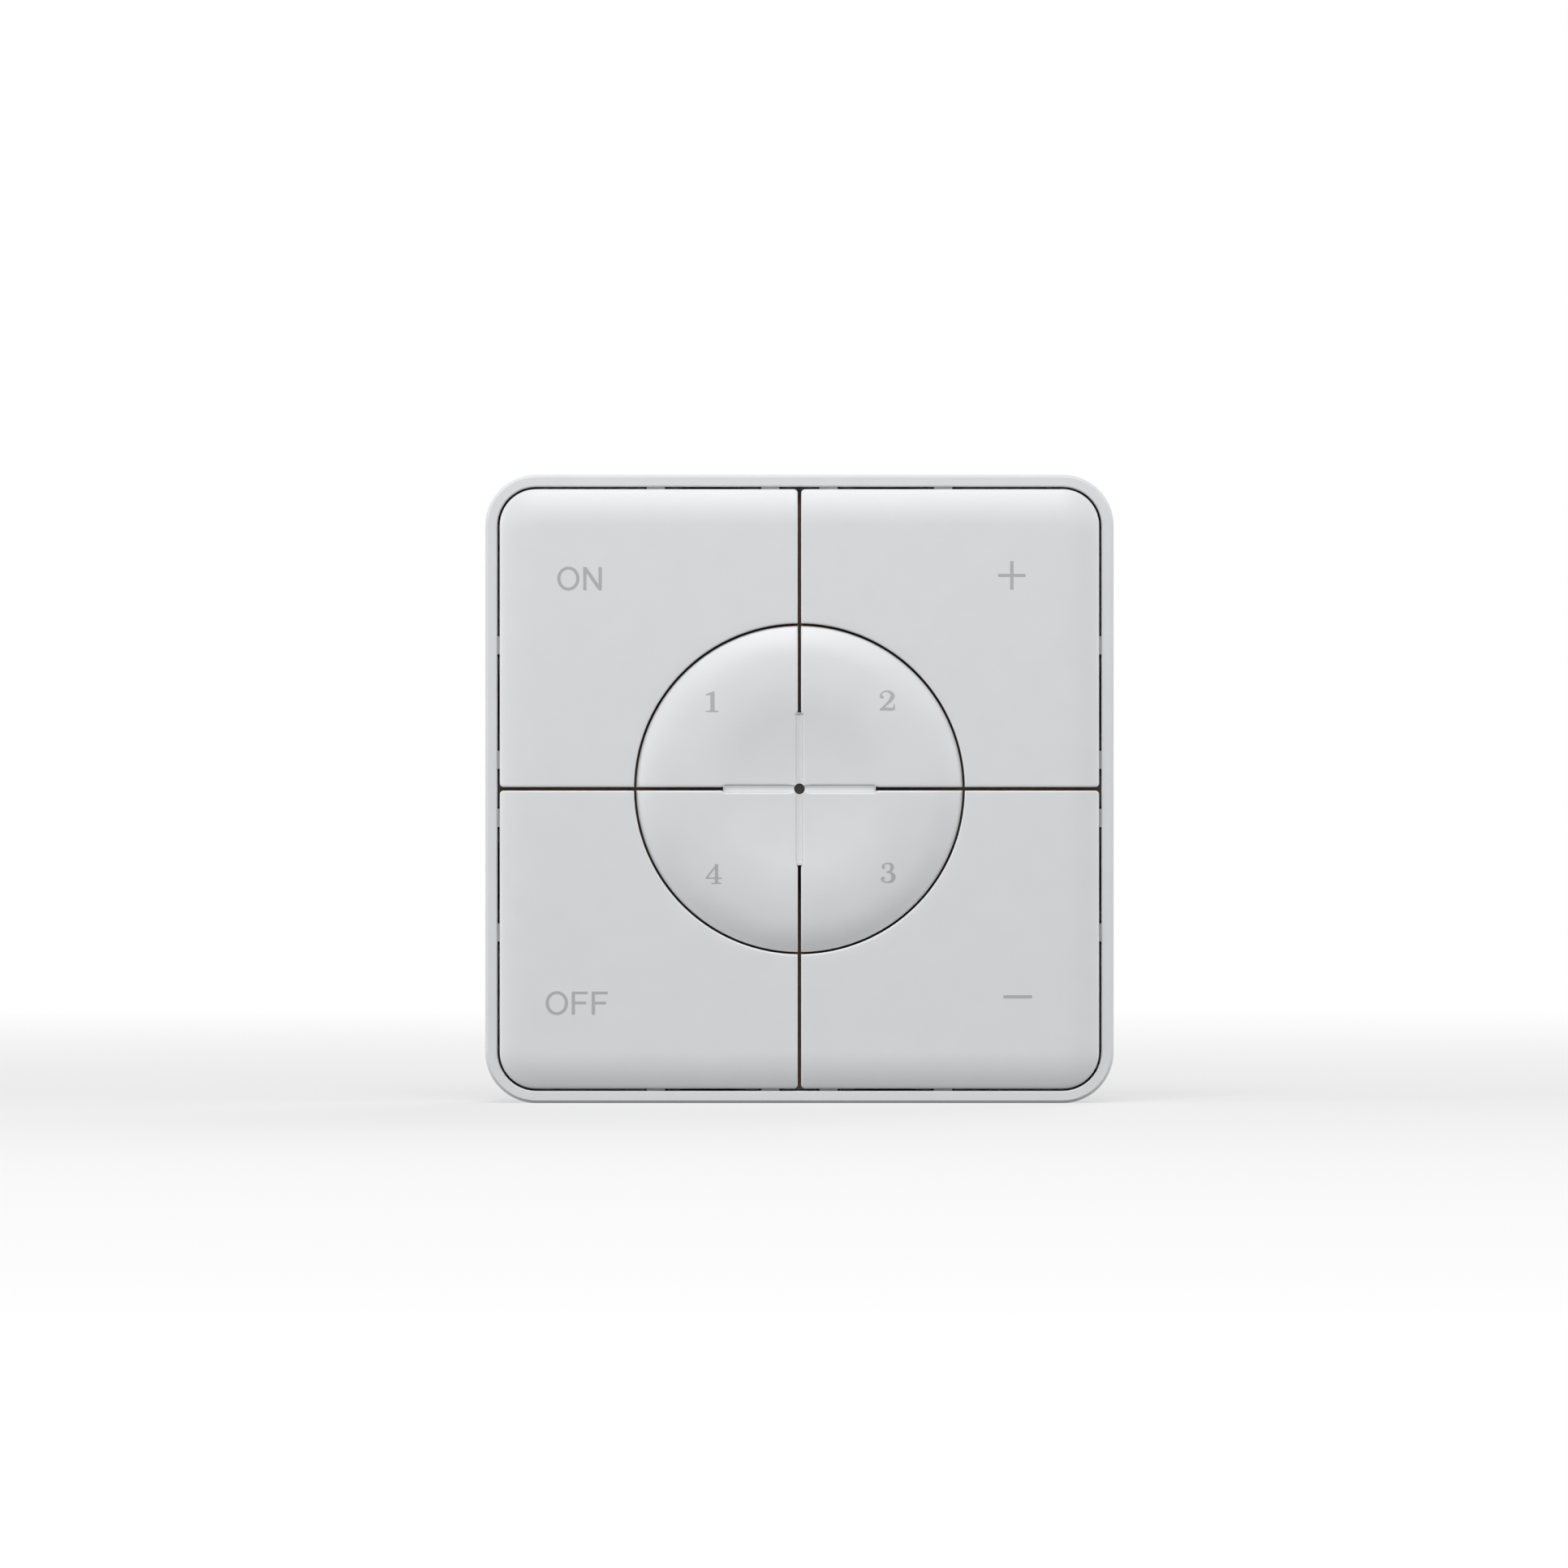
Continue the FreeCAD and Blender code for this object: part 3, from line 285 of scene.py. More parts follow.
def metal(name, colour, roughness, streaks):
    """Bare metal whose finish is drawn out; streaks turns a place into where noise reads."""
    material, tree, shader = new_material(name)
    place = combine(tree, *streaks(*parts_of(tree, object_place(tree))))
    drawn = noise(tree, place, STREAK_SCALE, STREAK_DETAIL)
    darker = [value * STREAK_SHADE for value in colour]
    tree.links.new(tint(tree, drawn, darker, colour), shader.inputs["Base Color"])
    uneven_gloss(tree, shader, roughness, drawn, STREAK_SHEEN)
    relief(tree, shader, drawn, GRAIN_DEPTH)
    set_inputs(shader, {"Metallic": 1})
    return material


cell_steel = metal("cell_steel", (0.62, 0.62, 0.6), 0.3,
                   lambda x, y, z: ((x * x + z * z).root(), y, 0))
contact_metal = metal("contact_metal", (0.7, 0.68, 0.62), 0.3,
                      lambda x, y, z: (x * PRESSED, y, z))
can_metal = metal("can_metal", (0.6, 0.6, 0.6), 0.35, lambda x, y, z: (x, y, z * PRESSED))
print("materials, with three metals:", len(bpy.data.materials))

# %% [markdown]
# The circuit board is green laminate, and its copper tracks show paler through the
# lacquer. They could be drawn one by one, but the board is hidden in use, so a brick
# pattern's joints stand for them: long, thin, and at the even distances of real tracks.


# %% The board
TRACK_LENGTH = 7 * MM
TRACK_PITCH = 2.5 * MM
TRACK_WIDTH = 0.3 * MM
TRACK_DEPTH = 0.05 * MM
TRACK_SHARE = 0.7
CLOUD_SCALE = 300
CLOUD_DETAIL = 3
CLOUD_SHARE = 0.3
LACQUER_GREEN = (0.02, 0.09, 0.04)
TRACK_GREEN = (0.07, 0.26, 0.1)
LACQUER_ROUGHNESS = 0.3


def circuit_laminate():
    """Green board with paler copper tracks under its lacquer."""
    material, tree, shader = new_material("board_laminate")
    place = object_place(tree)
    turn = tree.nodes.new("ShaderNodeMapping")
    set_inputs(turn, {"Rotation": (math.radians(90), 0, 0)})
    tree.links.new(place, turn.inputs["Vector"])
    tracks = tree.nodes.new("ShaderNodeTexBrick")
    set_inputs(tracks, {"Scale": 1, "Brick Width": TRACK_LENGTH, "Row Height": TRACK_PITCH,
                        "Mortar Size": TRACK_WIDTH})
    tree.links.new(turn.outputs["Vector"], tracks.inputs["Vector"])
    on_track = Field(tree, tracks.outputs["Fac"])
    cloud = noise(tree, place, CLOUD_SCALE, CLOUD_DETAIL)
    amount = on_track * TRACK_SHARE + cloud * CLOUD_SHARE
    tree.links.new(tint(tree, amount, LACQUER_GREEN, TRACK_GREEN), shader.inputs["Base Color"])
    relief(tree, shader, on_track, TRACK_DEPTH)
    set_inputs(shader, {"Roughness": LACQUER_ROUGHNESS})
    return material


board_laminate = circuit_laminate()
print("materials, with the board's:", len(bpy.data.materials))

# %% [markdown]
# A corner key is a block with a round bite for the disc. Its front is flat, but rolls
# down towards the two outer sides like a pillow, and every edge has a small rounding,
# a little wider than it is deep. A bevel modifier could round the edges of the CAD mesh,
# but its triangles are uneven and would show in the highlights. So the key is drawn as
# rings: the same outline, drawn in step by step, gives the rounding and the walls, and
# a grid of straight columns from the bite to the outer sides fills the front.

# %% Sizes of a corner key
KEY_CORNER = 4.64 * MM
KEY_TIP = 0.5 * MM
KEY_EDGE = 0.15 * MM
EDGE_SPREAD = 1.7
EDGE_STEPS = 4
KEY_WALL = 1.0 * MM
KEY_THICKNESS = 1.8 * MM
KEY_SKIRT = 1.1 * MM
KEY_ROOF = KEY_FRONT - KEY_THICKNESS
SKIRT_BACK = KEY_ROOF - KEY_SKIRT
DISC_GAP = 0.3 * MM
BITE_RADIUS = DISC_RADIUS + DISC_GAP
PILLOW_ROUND = 11.0 * MM
PILLOW_WIDTH = 4.6 * MM
PILLOW_CORNER = 0.5 * MM
SMALLEST_CORNER = 0.02 * MM
TIP_STEPS = 6
SIDE_STEPS = 18
CORNER_STEPS = 14
COLUMNS = 2 * (TIP_STEPS + SIDE_STEPS) + CORNER_STEPS
FLAT_ROWS = 14
FLAT_SHARE = 0.7
PILLOW_ROWS = 22
PILLOW_SHARE = 0.3
ROW_SHARES = [FLAT_SHARE * row / FLAT_ROWS for row in range(FLAT_ROWS)]
ROW_SHARES += [FLAT_SHARE + PILLOW_SHARE * row / PILLOW_ROWS for row in range(PILLOW_ROWS + 1)]
print("the front of a corner key has", COLUMNS, "columns and", len(ROW_SHARES) - 1, "rows")


# %% The pillow
def pillow_drop(x, z):
    """How far the front has rolled down at a place."""
    start = KEY_HALF - PILLOW_WIDTH - PILLOW_CORNER
    across = abs(x) - start
    up = abs(z) - start
    if across > 0 and up > 0:
        beyond = math.hypot(across, up) - PILLOW_CORNER
    else:
        beyond = max(across, up) - PILLOW_CORNER
    beyond = max(beyond, 0)
    return PILLOW_ROUND - math.sqrt(PILLOW_ROUND ** 2 - beyond ** 2)


print("the outer sides lie", round(pillow_drop(KEY_HALF, 0) / MM, 2), "mm below the front")


# %% The outline
def arc_points(x, z, radius, first, last, steps):
    """Points of an arc about a centre, between two angles in degrees."""
    angles = [math.radians(first + (last - first) * step / steps)
              for step in range(steps + 1)]
    return [(x + radius * math.cos(angle), z + radius * math.sin(angle)) for angle in angles]


def line_points(start, end, shares):
    """Points at the given shares of a straight line."""
    return [(start[0] + (end[0] - start[0]) * share, start[1] + (end[1] - start[1]) * share)
            for share in shares]


def key_outline(inset):
    """The bite, the far side, the outer sides and the near side, drawn in."""
    side = CROSS_HALF + inset
    half = KEY_HALF - inset
    corner = max(KEY_CORNER - inset, SMALLEST_CORNER)
    tip = max(KEY_TIP - inset, SMALLEST_CORNER)
    bite = BITE_RADIUS + inset
    meet = math.sqrt(bite ** 2 - side ** 2)
    turn = math.degrees(math.asin(side / bite))
    bite_points = arc_points(0, 0, bite, 90 - turn, turn, COLUMNS)
    even = [step / SIDE_STEPS for step in range(SIDE_STEPS + 1)]
    outer = arc_points(side + tip, half - tip, tip, 180, 90, TIP_STEPS)
    outer += line_points((side + tip, half), (half - corner, half), even)[1:]
    outer += arc_points(half - corner, half - corner, corner, 90, 0, CORNER_STEPS)[1:]
    outer += line_points((half, half - corner), (half, side + tip), even)[1:]
    outer += arc_points(half - tip, side + tip, tip, 0, -90, TIP_STEPS)[1:]
    near = line_points((side, meet), (side, half - tip), ROW_SHARES)
    far = line_points((meet, side), (half - tip, side), ROW_SHARES)
    return bite_points, far, outer, near


def closed_loop(inset):
    """The outline as one loop of points."""
    bite_points, far, outer, near = key_outline(inset)
    return bite_points + far[1:] + outer[-2::-1] + near[-2:0:-1]


# %% [markdown]
# The key's mesh starts with its front grid, whose border is the outline drawn in by the
# width of the rounding. The next rings step out and down along the rounding, then
# down the wall, round the skirt's lower edge and up inside it to the roof. Stem, pins
# and lugs are blocks that are sunk into the shell a little, as ribs are in a mould.


# %% A grid with its border, and faces between rings
def front_grid(inset, level_at):
    """Points and faces of a grid that fills the outline; level_at gives each level."""
    bite_points, _, outer, _ = key_outline(inset)
    points = []
    for row, share in enumerate(ROW_SHARES):
        for start, end in zip(bite_points, outer):
            x, z = line_points(start, end, [share])[0]
            points.append((x, -level_at(x, z), z))
    width = COLUMNS + 1
    faces = [(row * width + column, row * width + column + 1,
              (row + 1) * width + column + 1, (row + 1) * width + column)
             for row in range(len(ROW_SHARES) - 1) for column in range(COLUMNS)]
    last = (len(ROW_SHARES) - 1) * width
    border = list(range(width))
    border += [row * width + COLUMNS for row in range(1, len(ROW_SHARES))]
    border += [last + column for column in range(COLUMNS - 1, -1, -1)]
    border += [row * width for row in range(len(ROW_SHARES) - 2, 0, -1)]
    return points, faces, border


def join_rings(inner, outer):
    """Faces between two loops with the same number of points."""
    count = len(inner)
    return [(inner[i], inner[(i + 1) % count], outer[(i + 1) % count], outer[i])
            for i in range(count)]


# %% The shell of a corner key
def key_shell():
    """Points and faces of a corner key's shell, in the upper right quarter."""
    points, faces, ring = front_grid(KEY_EDGE * EDGE_SPREAD,
                                     lambda x, z: KEY_FRONT - pillow_drop(x, z))
    rings = []
    for step in range(EDGE_STEPS - 1, -1, -1):
        angle = math.radians(90 * step / EDGE_STEPS)
        inset = KEY_EDGE * EDGE_SPREAD * (1 - math.cos(angle))
        drop = KEY_EDGE * (1 - math.sin(angle))
        rings.append((inset, lambda x, z, drop=drop: KEY_FRONT - pillow_drop(x, z) - drop))
    rings.append((0, lambda x, z: SKIRT_BACK))
    rings.append((KEY_WALL, lambda x, z: SKIRT_BACK))
    for inset, level_at in rings:
        start = len(points)
        points += [(x, -level_at(x, z), z) for x, z in closed_loop(inset)]
        following = list(range(start, len(points)))
        faces += join_rings(ring, following)
        ring = following
    roof_points, roof_faces, roof_border = front_grid(KEY_WALL, lambda x, z: KEY_ROOF)
    start = len(points)
    points += roof_points
    faces += [tuple(start + index for index in face) for face in roof_faces]
    faces += join_rings(ring, [start + index for index in roof_border])
    return points, faces


# %% Stem, pins and lugs
STEM_WIDTH = 2.6 * MM
STEM_PLACE = 24.0 * MM
STEM_BACK = 10.28 * MM
PIN_WIDTH = 2.0 * MM
PIN_BACK = -key_high.y
PIN_PLACES = [(8.0 * MM, 33.5 * MM), (33.5 * MM, 8.0 * MM)]
LUG_WIDTH = 2.3 * MM
LUG_THICKNESS = 0.8 * MM
LUG_FRONT = SKIRT_BACK + LUG_THICKNESS
LUG_REACH = 1.0 * MM
LUG_PLACES = (3.7 * MM, 18.3 * MM)
SUNK = 0.2 * MM


def block(points, faces, low, high):
    """Adds a block between two corners, given as x, level and z."""
    start = len(points)
    points += [(x, -level, z) for x in (low[0], high[0]) for level in (low[1], high[1])
               for z in (low[2], high[2])]
    sides = [(0, 1, 3, 2), (4, 6, 7, 5), (0, 4, 5, 1), (2, 3, 7, 6), (0, 2, 6, 4), (1, 5, 7, 3)]
    faces += [tuple(start + index for index in side) for side in sides]


def post(points, faces, x, z, width, back, front):
    """Adds an upright square post about a place."""
    half = width / 2
    block(points, faces, (x - half, back, z - half), (x + half, front, z + half))


def key_fittings(points, faces):
    """Adds what a corner key carries behind its front and at its outer sides."""
    post(points, faces, STEM_PLACE, STEM_PLACE, STEM_WIDTH, STEM_BACK, KEY_ROOF + SUNK)
    for x, z in PIN_PLACES:
        post(points, faces, x, z, PIN_WIDTH, PIN_BACK, KEY_ROOF + SUNK)
    near = KEY_HALF - SUNK
    far = KEY_HALF + LUG_REACH
    for place in LUG_PLACES:
        low, high = place - LUG_WIDTH / 2, place + LUG_WIDTH / 2
        block(points, faces, (near, SKIRT_BACK, low), (far, LUG_FRONT, high))
        block(points, faces, (low, SKIRT_BACK, near), (high, LUG_FRONT, far))


# %% [markdown]
# Rings and grids repeat points where they meet, and a mirrored quarter is inside out. So
# each mesh has its doubles merged and its faces turned outwards, and its edges stay
# sharp only where two faces meet steeply. Then it becomes an object that rides on its
# body and takes the place of the plain CAD node.

# %% Finish a mesh and put it in the scene
MERGE_DISTANCE = 0.0005 * MM
SHARP_ANGLE = math.radians(35)


def finish_mesh(mesh, merge=MERGE_DISTANCE):
    """Merges doubles, turns faces outwards, and shades smoothly between sharp edges."""
    work = bmesh.new()
    work.from_mesh(mesh)
    bmesh.ops.remove_doubles(work, verts=work.verts, dist=merge)
    bmesh.ops.recalc_face_normals(work, faces=work.faces)
    for face in work.faces:
        face.smooth = True
    for edge in work.edges:
        edge.smooth = not edge.is_manifold or edge.calc_face_angle() < SHARP_ANGLE
    work.to_mesh(mesh)
    work.free()


def add_piece(name, mesh, material, body, *nodes):
    """Puts a finished mesh in the scene, on its body, in the place of its nodes."""
    mesh.materials.clear()
    mesh.materials.append(material)
    piece = bpy.data.objects.new(name, mesh)
    bpy.context.collection.objects.link(piece)
    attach(piece, body)
    if nodes:
        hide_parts(*nodes)
    return piece


def body_of(key_node):
    """The body that carries a corner key or a key of the disc."""
    if key_node.startswith("disc"):
        return key_node.replace("disc_key", "disc_lobe")
    return f"corner_{key_node}"


# %% Make the four corner keys
fronts = {}
for key, (across, up, _) in QUARTERS.items():
    points, faces = key_shell()
    key_fittings(points, faces)
    mesh = bpy.data.meshes.new(f"corner_key_{key}")
    mesh.from_pydata([(x * across, y, z * up) for x, y, z in points], [], faces)
    finish_mesh(mesh)
    fronts[f"key_{key}"] = add_piece(f"corner_key_{key}", mesh, white_plastic,
                                     body_of(f"key_{key}"), f"key_{key}")
print("a corner key has", len(mesh.polygons), "faces")

# %% [markdown]
# The lugs slide in grooves of the frame that are a little wider and open at the back, so
# daylight from behind would shine past them into the gap. A small dark seal closes each
# groove behind its lug, low enough for the lug's travel.

# %% Seal the lugs' grooves
KEY_TRAVEL = 0.5 * MM
LUG_ROOM = 0.3 * MM
SEAL_BACK = 1.2 * MM
SEAL_GAP = 0.1 * MM
points, faces = [], []
near = FRAME_HALF - FRAME_WALL
far = KEY_HALF + LUG_REACH + LUG_ROOM
half = LUG_WIDTH / 2 + LUG_ROOM + SEAL_GAP / 2
front = SKIRT_BACK - KEY_TRAVEL - SEAL_GAP
for side in (-1, 1):
    inner, outer = sorted((side * near, side * far))
    for place in (*LUG_PLACES, *(-place for place in LUG_PLACES)):
        low, high = place - half, place + half
        block(points, faces, (inner, SEAL_BACK, low), (outer, front, high))
        block(points, faces, (low, SEAL_BACK, inner), (high, front, outer))
mesh = bpy.data.meshes.new("light_seals")
mesh.from_pydata(points, [], faces)
finish_mesh(mesh)
add_piece("light_seals", mesh, deck_plastic, "base")
print("seals", len(points) // 8)

# %% [markdown]
# The keys of the disc, the lining of their groove and the signs follow a rule or lie on a
# surface, so Geometry Nodes make them. Each kind gets one tree, whose named inputs are
# its sizes, and which ends in real geometry with its material, because the export needs
# plain meshes. Each tree then runs once for each piece that it makes.


# %% Trees with named inputs
def start_tree(name, numbers, objects=()):
    """A tree with named inputs; gives it, its inputs, and its numbers as fields."""
    tree = bpy.data.node_groups.new(name, "GeometryNodeTree")
    tree.interface.new_socket("Geometry", in_out="INPUT", socket_type="NodeSocketGeometry")
    tree.interface.new_socket("Geometry", in_out="OUTPUT", socket_type="NodeSocketGeometry")
    kinds = [(label, "NodeSocketFloat") for label in numbers]
    kinds += [(label, "NodeSocketObject") for label in objects]
    kinds += [("Finish", "NodeSocketMaterial")]
    for label, kind in kinds:
        tree.interface.new_socket(label, in_out="INPUT", socket_type=kind)
    given = tree.nodes.new("NodeGroupInput").outputs
    return tree, given, {label: Field(tree, given[label]) for label in numbers}


def end_tree(tree, geometry, finish):
    """Ends a tree as the export needs it: real geometry with its material."""
    real = tree.nodes.new("GeometryNodeRealizeInstances")
    coat = tree.nodes.new("GeometryNodeSetMaterial")
    result = tree.nodes.new("NodeGroupOutput")
    tree.links.new(geometry, real.inputs["Geometry"])
    tree.links.new(real.outputs["Geometry"], coat.inputs["Geometry"])
    tree.links.new(finish, coat.inputs["Material"])
    tree.links.new(coat.outputs["Geometry"], result.inputs["Geometry"])


def run_tree(source, tree, values):
    """Runs a tree on an object with its inputs set, and gives the plain mesh."""
    modifier = source.modifiers.new(tree.name, "NODES")
    modifier.node_group = tree
    for item in tree.interface.items_tree:
        if item.in_out == "INPUT" and item.name in values:
            modifier[item.identifier] = values[item.name]
    bpy.context.view_layer.update()
    evaluated = source.evaluated_get(bpy.context.evaluated_depsgraph_get())
    mesh = bpy.data.meshes.new_from_object(evaluated)
    data = source.data
    kind = source.type
    bpy.data.objects.remove(source)
    if kind == "MESH":
        bpy.data.meshes.remove(data)
    else:
        bpy.data.curves.remove(data)
    return mesh


# %% [markdown]
# The trees below share a few steps: a flat grid to start from, points that move to a
# place, a sheet that is drawn out or turned over, and parts that are joined. Each step
# is one node, and a function for it keeps the trees short enough to read.


# %% Steps that the trees share
def position_parts(tree):
    """The three parts of each point's position."""
    place = tree.nodes.new("GeometryNodeInputPosition")
    return parts_of(tree, place.outputs["Position"])


def flat_grid(tree, width, columns, rows):
    """A grid about the middle, one long, with so many columns and rows."""
    grid = tree.nodes.new("GeometryNodeMeshGrid")
    set_inputs(grid, {"Size X": width, "Size Y": 1, "Vertices X": columns + 1,
                      "Vertices Y": rows + 1})
    return grid.outputs["Mesh"]


def move_points(tree, geometry, place, offset=None, selection=None):
    """Moves points to a place, and by an offset from there; all, or those selected."""
    node = tree.nodes.new("GeometryNodeSetPosition")
    given = {"Geometry": geometry, "Position": place, "Offset": offset, "Selection": selection}
    for label, socket in given.items():
        if socket is not None:
            tree.links.new(socket, node.inputs[label])
    return node.outputs["Geometry"]


def draw_out(tree, sheet, offset):
    """Extrudes a sheet as a whole by an offset; gives the node."""
    node = tree.nodes.new("GeometryNodeExtrudeMesh")
    set_inputs(node, {"Individual": False})
    tree.links.new(sheet, node.inputs["Mesh"])
    tree.links.new(offset, node.inputs["Offset"])
    return node


def turn_over(tree, sheet):
    """The sheet with its faces the other way round."""
    node = tree.nodes.new("GeometryNodeFlipFaces")
    tree.links.new(sheet, node.inputs["Mesh"])
    return node.outputs["Mesh"]


def join(tree, *parts):
    """All parts as one geometry."""
    node = tree.nodes.new("GeometryNodeJoinGeometry")
    for part in parts:
        tree.links.new(part, node.inputs["Geometry"])
    return node.outputs["Geometry"]


def thicken(tree, sheet, offset):
    """The closed body between a sheet and the same sheet moved by an offset."""
    return join(tree, turn_over(tree, sheet), draw_out(tree, sheet, offset).outputs["Mesh"])


# %% [markdown]
# The disc is the piece that everyone looks at: a shallow dish, a rounded crest, a rolled
# rim, and a cross of slots. Its height depends on the distance from the middle alone, by
# three arcs that run into each other without a kink: the wide hollow, the crest, and
# the rim. From the radii of the arcs and the radius of the crest follow the places where
# one arc hands over to the next, as a draughtsman finds them with similar triangles.

# %% The disc's three arcs
HOLLOW_ROUND = 90.9 * MM
CREST_ROUND = 32.5 * MM
ROLL_ROUND = 10.9 * MM
CREST_RADIUS = DISC_RADIUS - 7.85 * MM
ROLL_START = DISC_RADIUS - 3.75 * MM
crest_centre = CREST_FRONT - CREST_ROUND
HOLLOW_END = CREST_RADIUS * HOLLOW_ROUND / (HOLLOW_ROUND + CREST_ROUND)
hollow_end_level = crest_centre + math.sqrt(CREST_ROUND ** 2 - (CREST_RADIUS - HOLLOW_END) ** 2)
HOLLOW_LEVEL = hollow_end_level - HOLLOW_ROUND + math.sqrt(HOLLOW_ROUND ** 2 - HOLLOW_END ** 2)
roll_level = crest_centre + math.sqrt(CREST_ROUND ** 2 - (ROLL_START - CREST_RADIUS) ** 2)
roll_share = 1 - ROLL_ROUND / CREST_ROUND
ROLL_CENTRE = CREST_RADIUS + (ROLL_START - CREST_RADIUS) * roll_share
roll_centre_level = crest_centre + (roll_level - crest_centre) * roll_share
print("the hollow ends at", round(HOLLOW_END / MM, 2), "mm, its middle is",
      round((CREST_FRONT - HOLLOW_LEVEL) / MM, 2), "mm below the crest")


def arc_level(distance, radius, centre_level, sign=1):
    """The level of an arc at a distance from its own middle line."""
    height = (distance * distance * -1 + radius ** 2).root()
    return height * sign + centre_level


def disc_level(radius):
    """The front's level as a field of the distance from the disc's axis."""
    hollow = arc_level(radius, HOLLOW_ROUND, HOLLOW_LEVEL + HOLLOW_ROUND, -1)
    crest = arc_level(radius - CREST_RADIUS, CREST_ROUND, crest_centre)
    roll = arc_level(radius - ROLL_CENTRE, ROLL_ROUND, roll_centre_level)
    in_hollow = radius.below(HOLLOW_END)
    in_roll = -radius.below(ROLL_START) + 1
    return crest + (hollow - crest) * in_hollow + (roll - crest) * in_roll


# %% [markdown]
# Modelling a quarter of the disc by hand would lose the rule. So a tree bends a flat grid
# into a quarter of a ring and lifts each point to the height that the arcs give. It
# counts the grid's columns from one slot to the other and its rows from the rim to the
# eye in the middle. The first few columns and rows step round the edge, and the rest
# are spread evenly. The gap between two keys is as wide as the slot outside and as wide
# as the cross groove inside.

# %% Sizes of a key of the disc
DISC_COLUMNS = 52
DISC_ROWS = 100
DISC_BACK = 12.8 * MM
DISC_SKIRT = 1.2 * MM
DISC_WALL = 1.0 * MM
SLOT_END = DISC_RADIUS - 11.05 * MM
FLARE_LENGTH = 0.3 * MM
EDGE_TAPER = 0.2
DISC_NUMBERS = {
    "Across": 1.0,
    "Up": 1.0,
    "Disc radius": DISC_RADIUS,
    "Eye radius": 0.675 * MM,
    "Slot half": 0.21 * MM,
    "Groove half": 0.415 * MM,
    "Slot end": SLOT_END,
    "Edge": 0.18 * MM,
    "Stem place": 9.546 * MM,
}
print("a key of the disc is a grid of", DISC_COLUMNS, "columns and", DISC_ROWS, "rows")


# %% The tree for a key of the disc
def around_edge(count):
    """How far in and down a step of the edge's rounding lies, as shares."""
    angle = count.least(EDGE_STEPS) * (math.pi / 2 / EDGE_STEPS)
    return -angle.cosine() + 1, -angle.sine() + 1


def disc_key_tree():
    """The tree that bends a grid into a quarter of the disc."""
    tree, given, size = start_tree("disc_key", DISC_NUMBERS)
    nodes, links = tree.nodes, tree.links
    grid_x, grid_y, _ = position_parts(tree)
    column = ((grid_x + 0.5) * DISC_COLUMNS).with_node("ROUND")
    row = ((-grid_y + 0.5) * DISC_ROWS).with_node("ROUND")
    from_side = column.least(-column + DISC_COLUMNS)
    rim_in, rim_down = around_edge(row)
    side_in, side_down = around_edge(from_side)

    span = size["Disc radius"] - size["Edge"] * EDGE_SPREAD - size["Eye radius"]
    beyond = (row - EDGE_STEPS).most(0) / (DISC_ROWS - EDGE_STEPS)
    radius = size["Disc radius"] - size["Edge"] * rim_in * EDGE_SPREAD - span * beyond
    inside = ((size["Slot end"] - radius) / FLARE_LENGTH + 0.5).most(0).least(1)
    gap_half = size["Slot half"] + (size["Groove half"] - size["Slot half"]) * inside
    edge = ((radius - gap_half * math.sqrt(2)) * EDGE_TAPER).least(size["Edge"]).most(0)
    turn = ((gap_half + edge * side_in * EDGE_SPREAD) / radius).arcsine()
    share = ((column - EDGE_STEPS) / (DISC_COLUMNS - 2 * EDGE_STEPS)).most(0).least(1)
    angle = turn + (-turn * 2 + math.pi / 2) * share
    x = radius * angle.cosine() * size["Across"]
    z = radius * angle.sine() * size["Up"]
    drop = (edge * side_down).most(size["Edge"] * rim_down)
    level = disc_level(radius) - drop

    keep = nodes.new("GeometryNodeCaptureAttribute")
    keep.capture_items.new("FLOAT", "Level")
    links.new(flat_grid(tree, 1, DISC_COLUMNS, DISC_ROWS), keep.inputs["Geometry"])
    links.new(level.socket, keep.inputs["Level"])
    flat = move_points(tree, keep.outputs["Geometry"], combine(tree, x, -DISC_BACK, z))

    body = nodes.new("GeometryNodeExtrudeMesh")
    set_inputs(body, {"Offset Scale": DISC_WALL, "Individual": False})
    links.new(flat, body.inputs["Mesh"])
    flat_x, _, flat_z = position_parts(tree)
    kept_level = Field(tree, keep.outputs["Level"])
    lifted = move_points(tree, body.outputs["Mesh"], combine(tree, flat_x, -kept_level, flat_z),
                         selection=body.outputs["Top"])

    skirt = draw_out(tree, turn_over(tree, flat), combine(tree, 0, DISC_SKIRT, 0))
    skirt_radius = (flat_x * flat_x + flat_z * flat_z).root()
    in_skirt = -skirt_radius.below(size["Disc radius"] - DISC_WALL) + 1
    links.new(in_skirt.socket, skirt.inputs["Selection"])

    stem_length = DISC_BACK + SUNK - STEM_BACK
    stem = nodes.new("GeometryNodeMeshCube")
    set_inputs(stem, {"Size": (STEM_WIDTH, stem_length, STEM_WIDTH)})
    moved = nodes.new("GeometryNodeTransform")
    links.new(stem.outputs["Mesh"], moved.inputs["Geometry"])
    stem_middle = -(STEM_BACK + stem_length / 2)
    place = size["Stem place"]
    links.new(combine(tree, place * size["Across"], stem_middle, place * size["Up"]),
              moved.inputs["Translation"])

    together = join(tree, moved.outputs["Geometry"], skirt.outputs["Mesh"], lifted)
    merged = nodes.new("GeometryNodeMergeByDistance")
    set_inputs(merged, {"Distance": MERGE_DISTANCE})
    links.new(together, merged.inputs["Geometry"])
    end_tree(tree, merged.outputs["Geometry"], given["Finish"])
    return tree


# %% Make the four keys of the disc
def empty_object():
    """An object without points for a tree to work on."""
    thing = bpy.data.objects.new("grid", bpy.data.meshes.new("grid"))
    bpy.context.collection.objects.link(thing)
    return thing


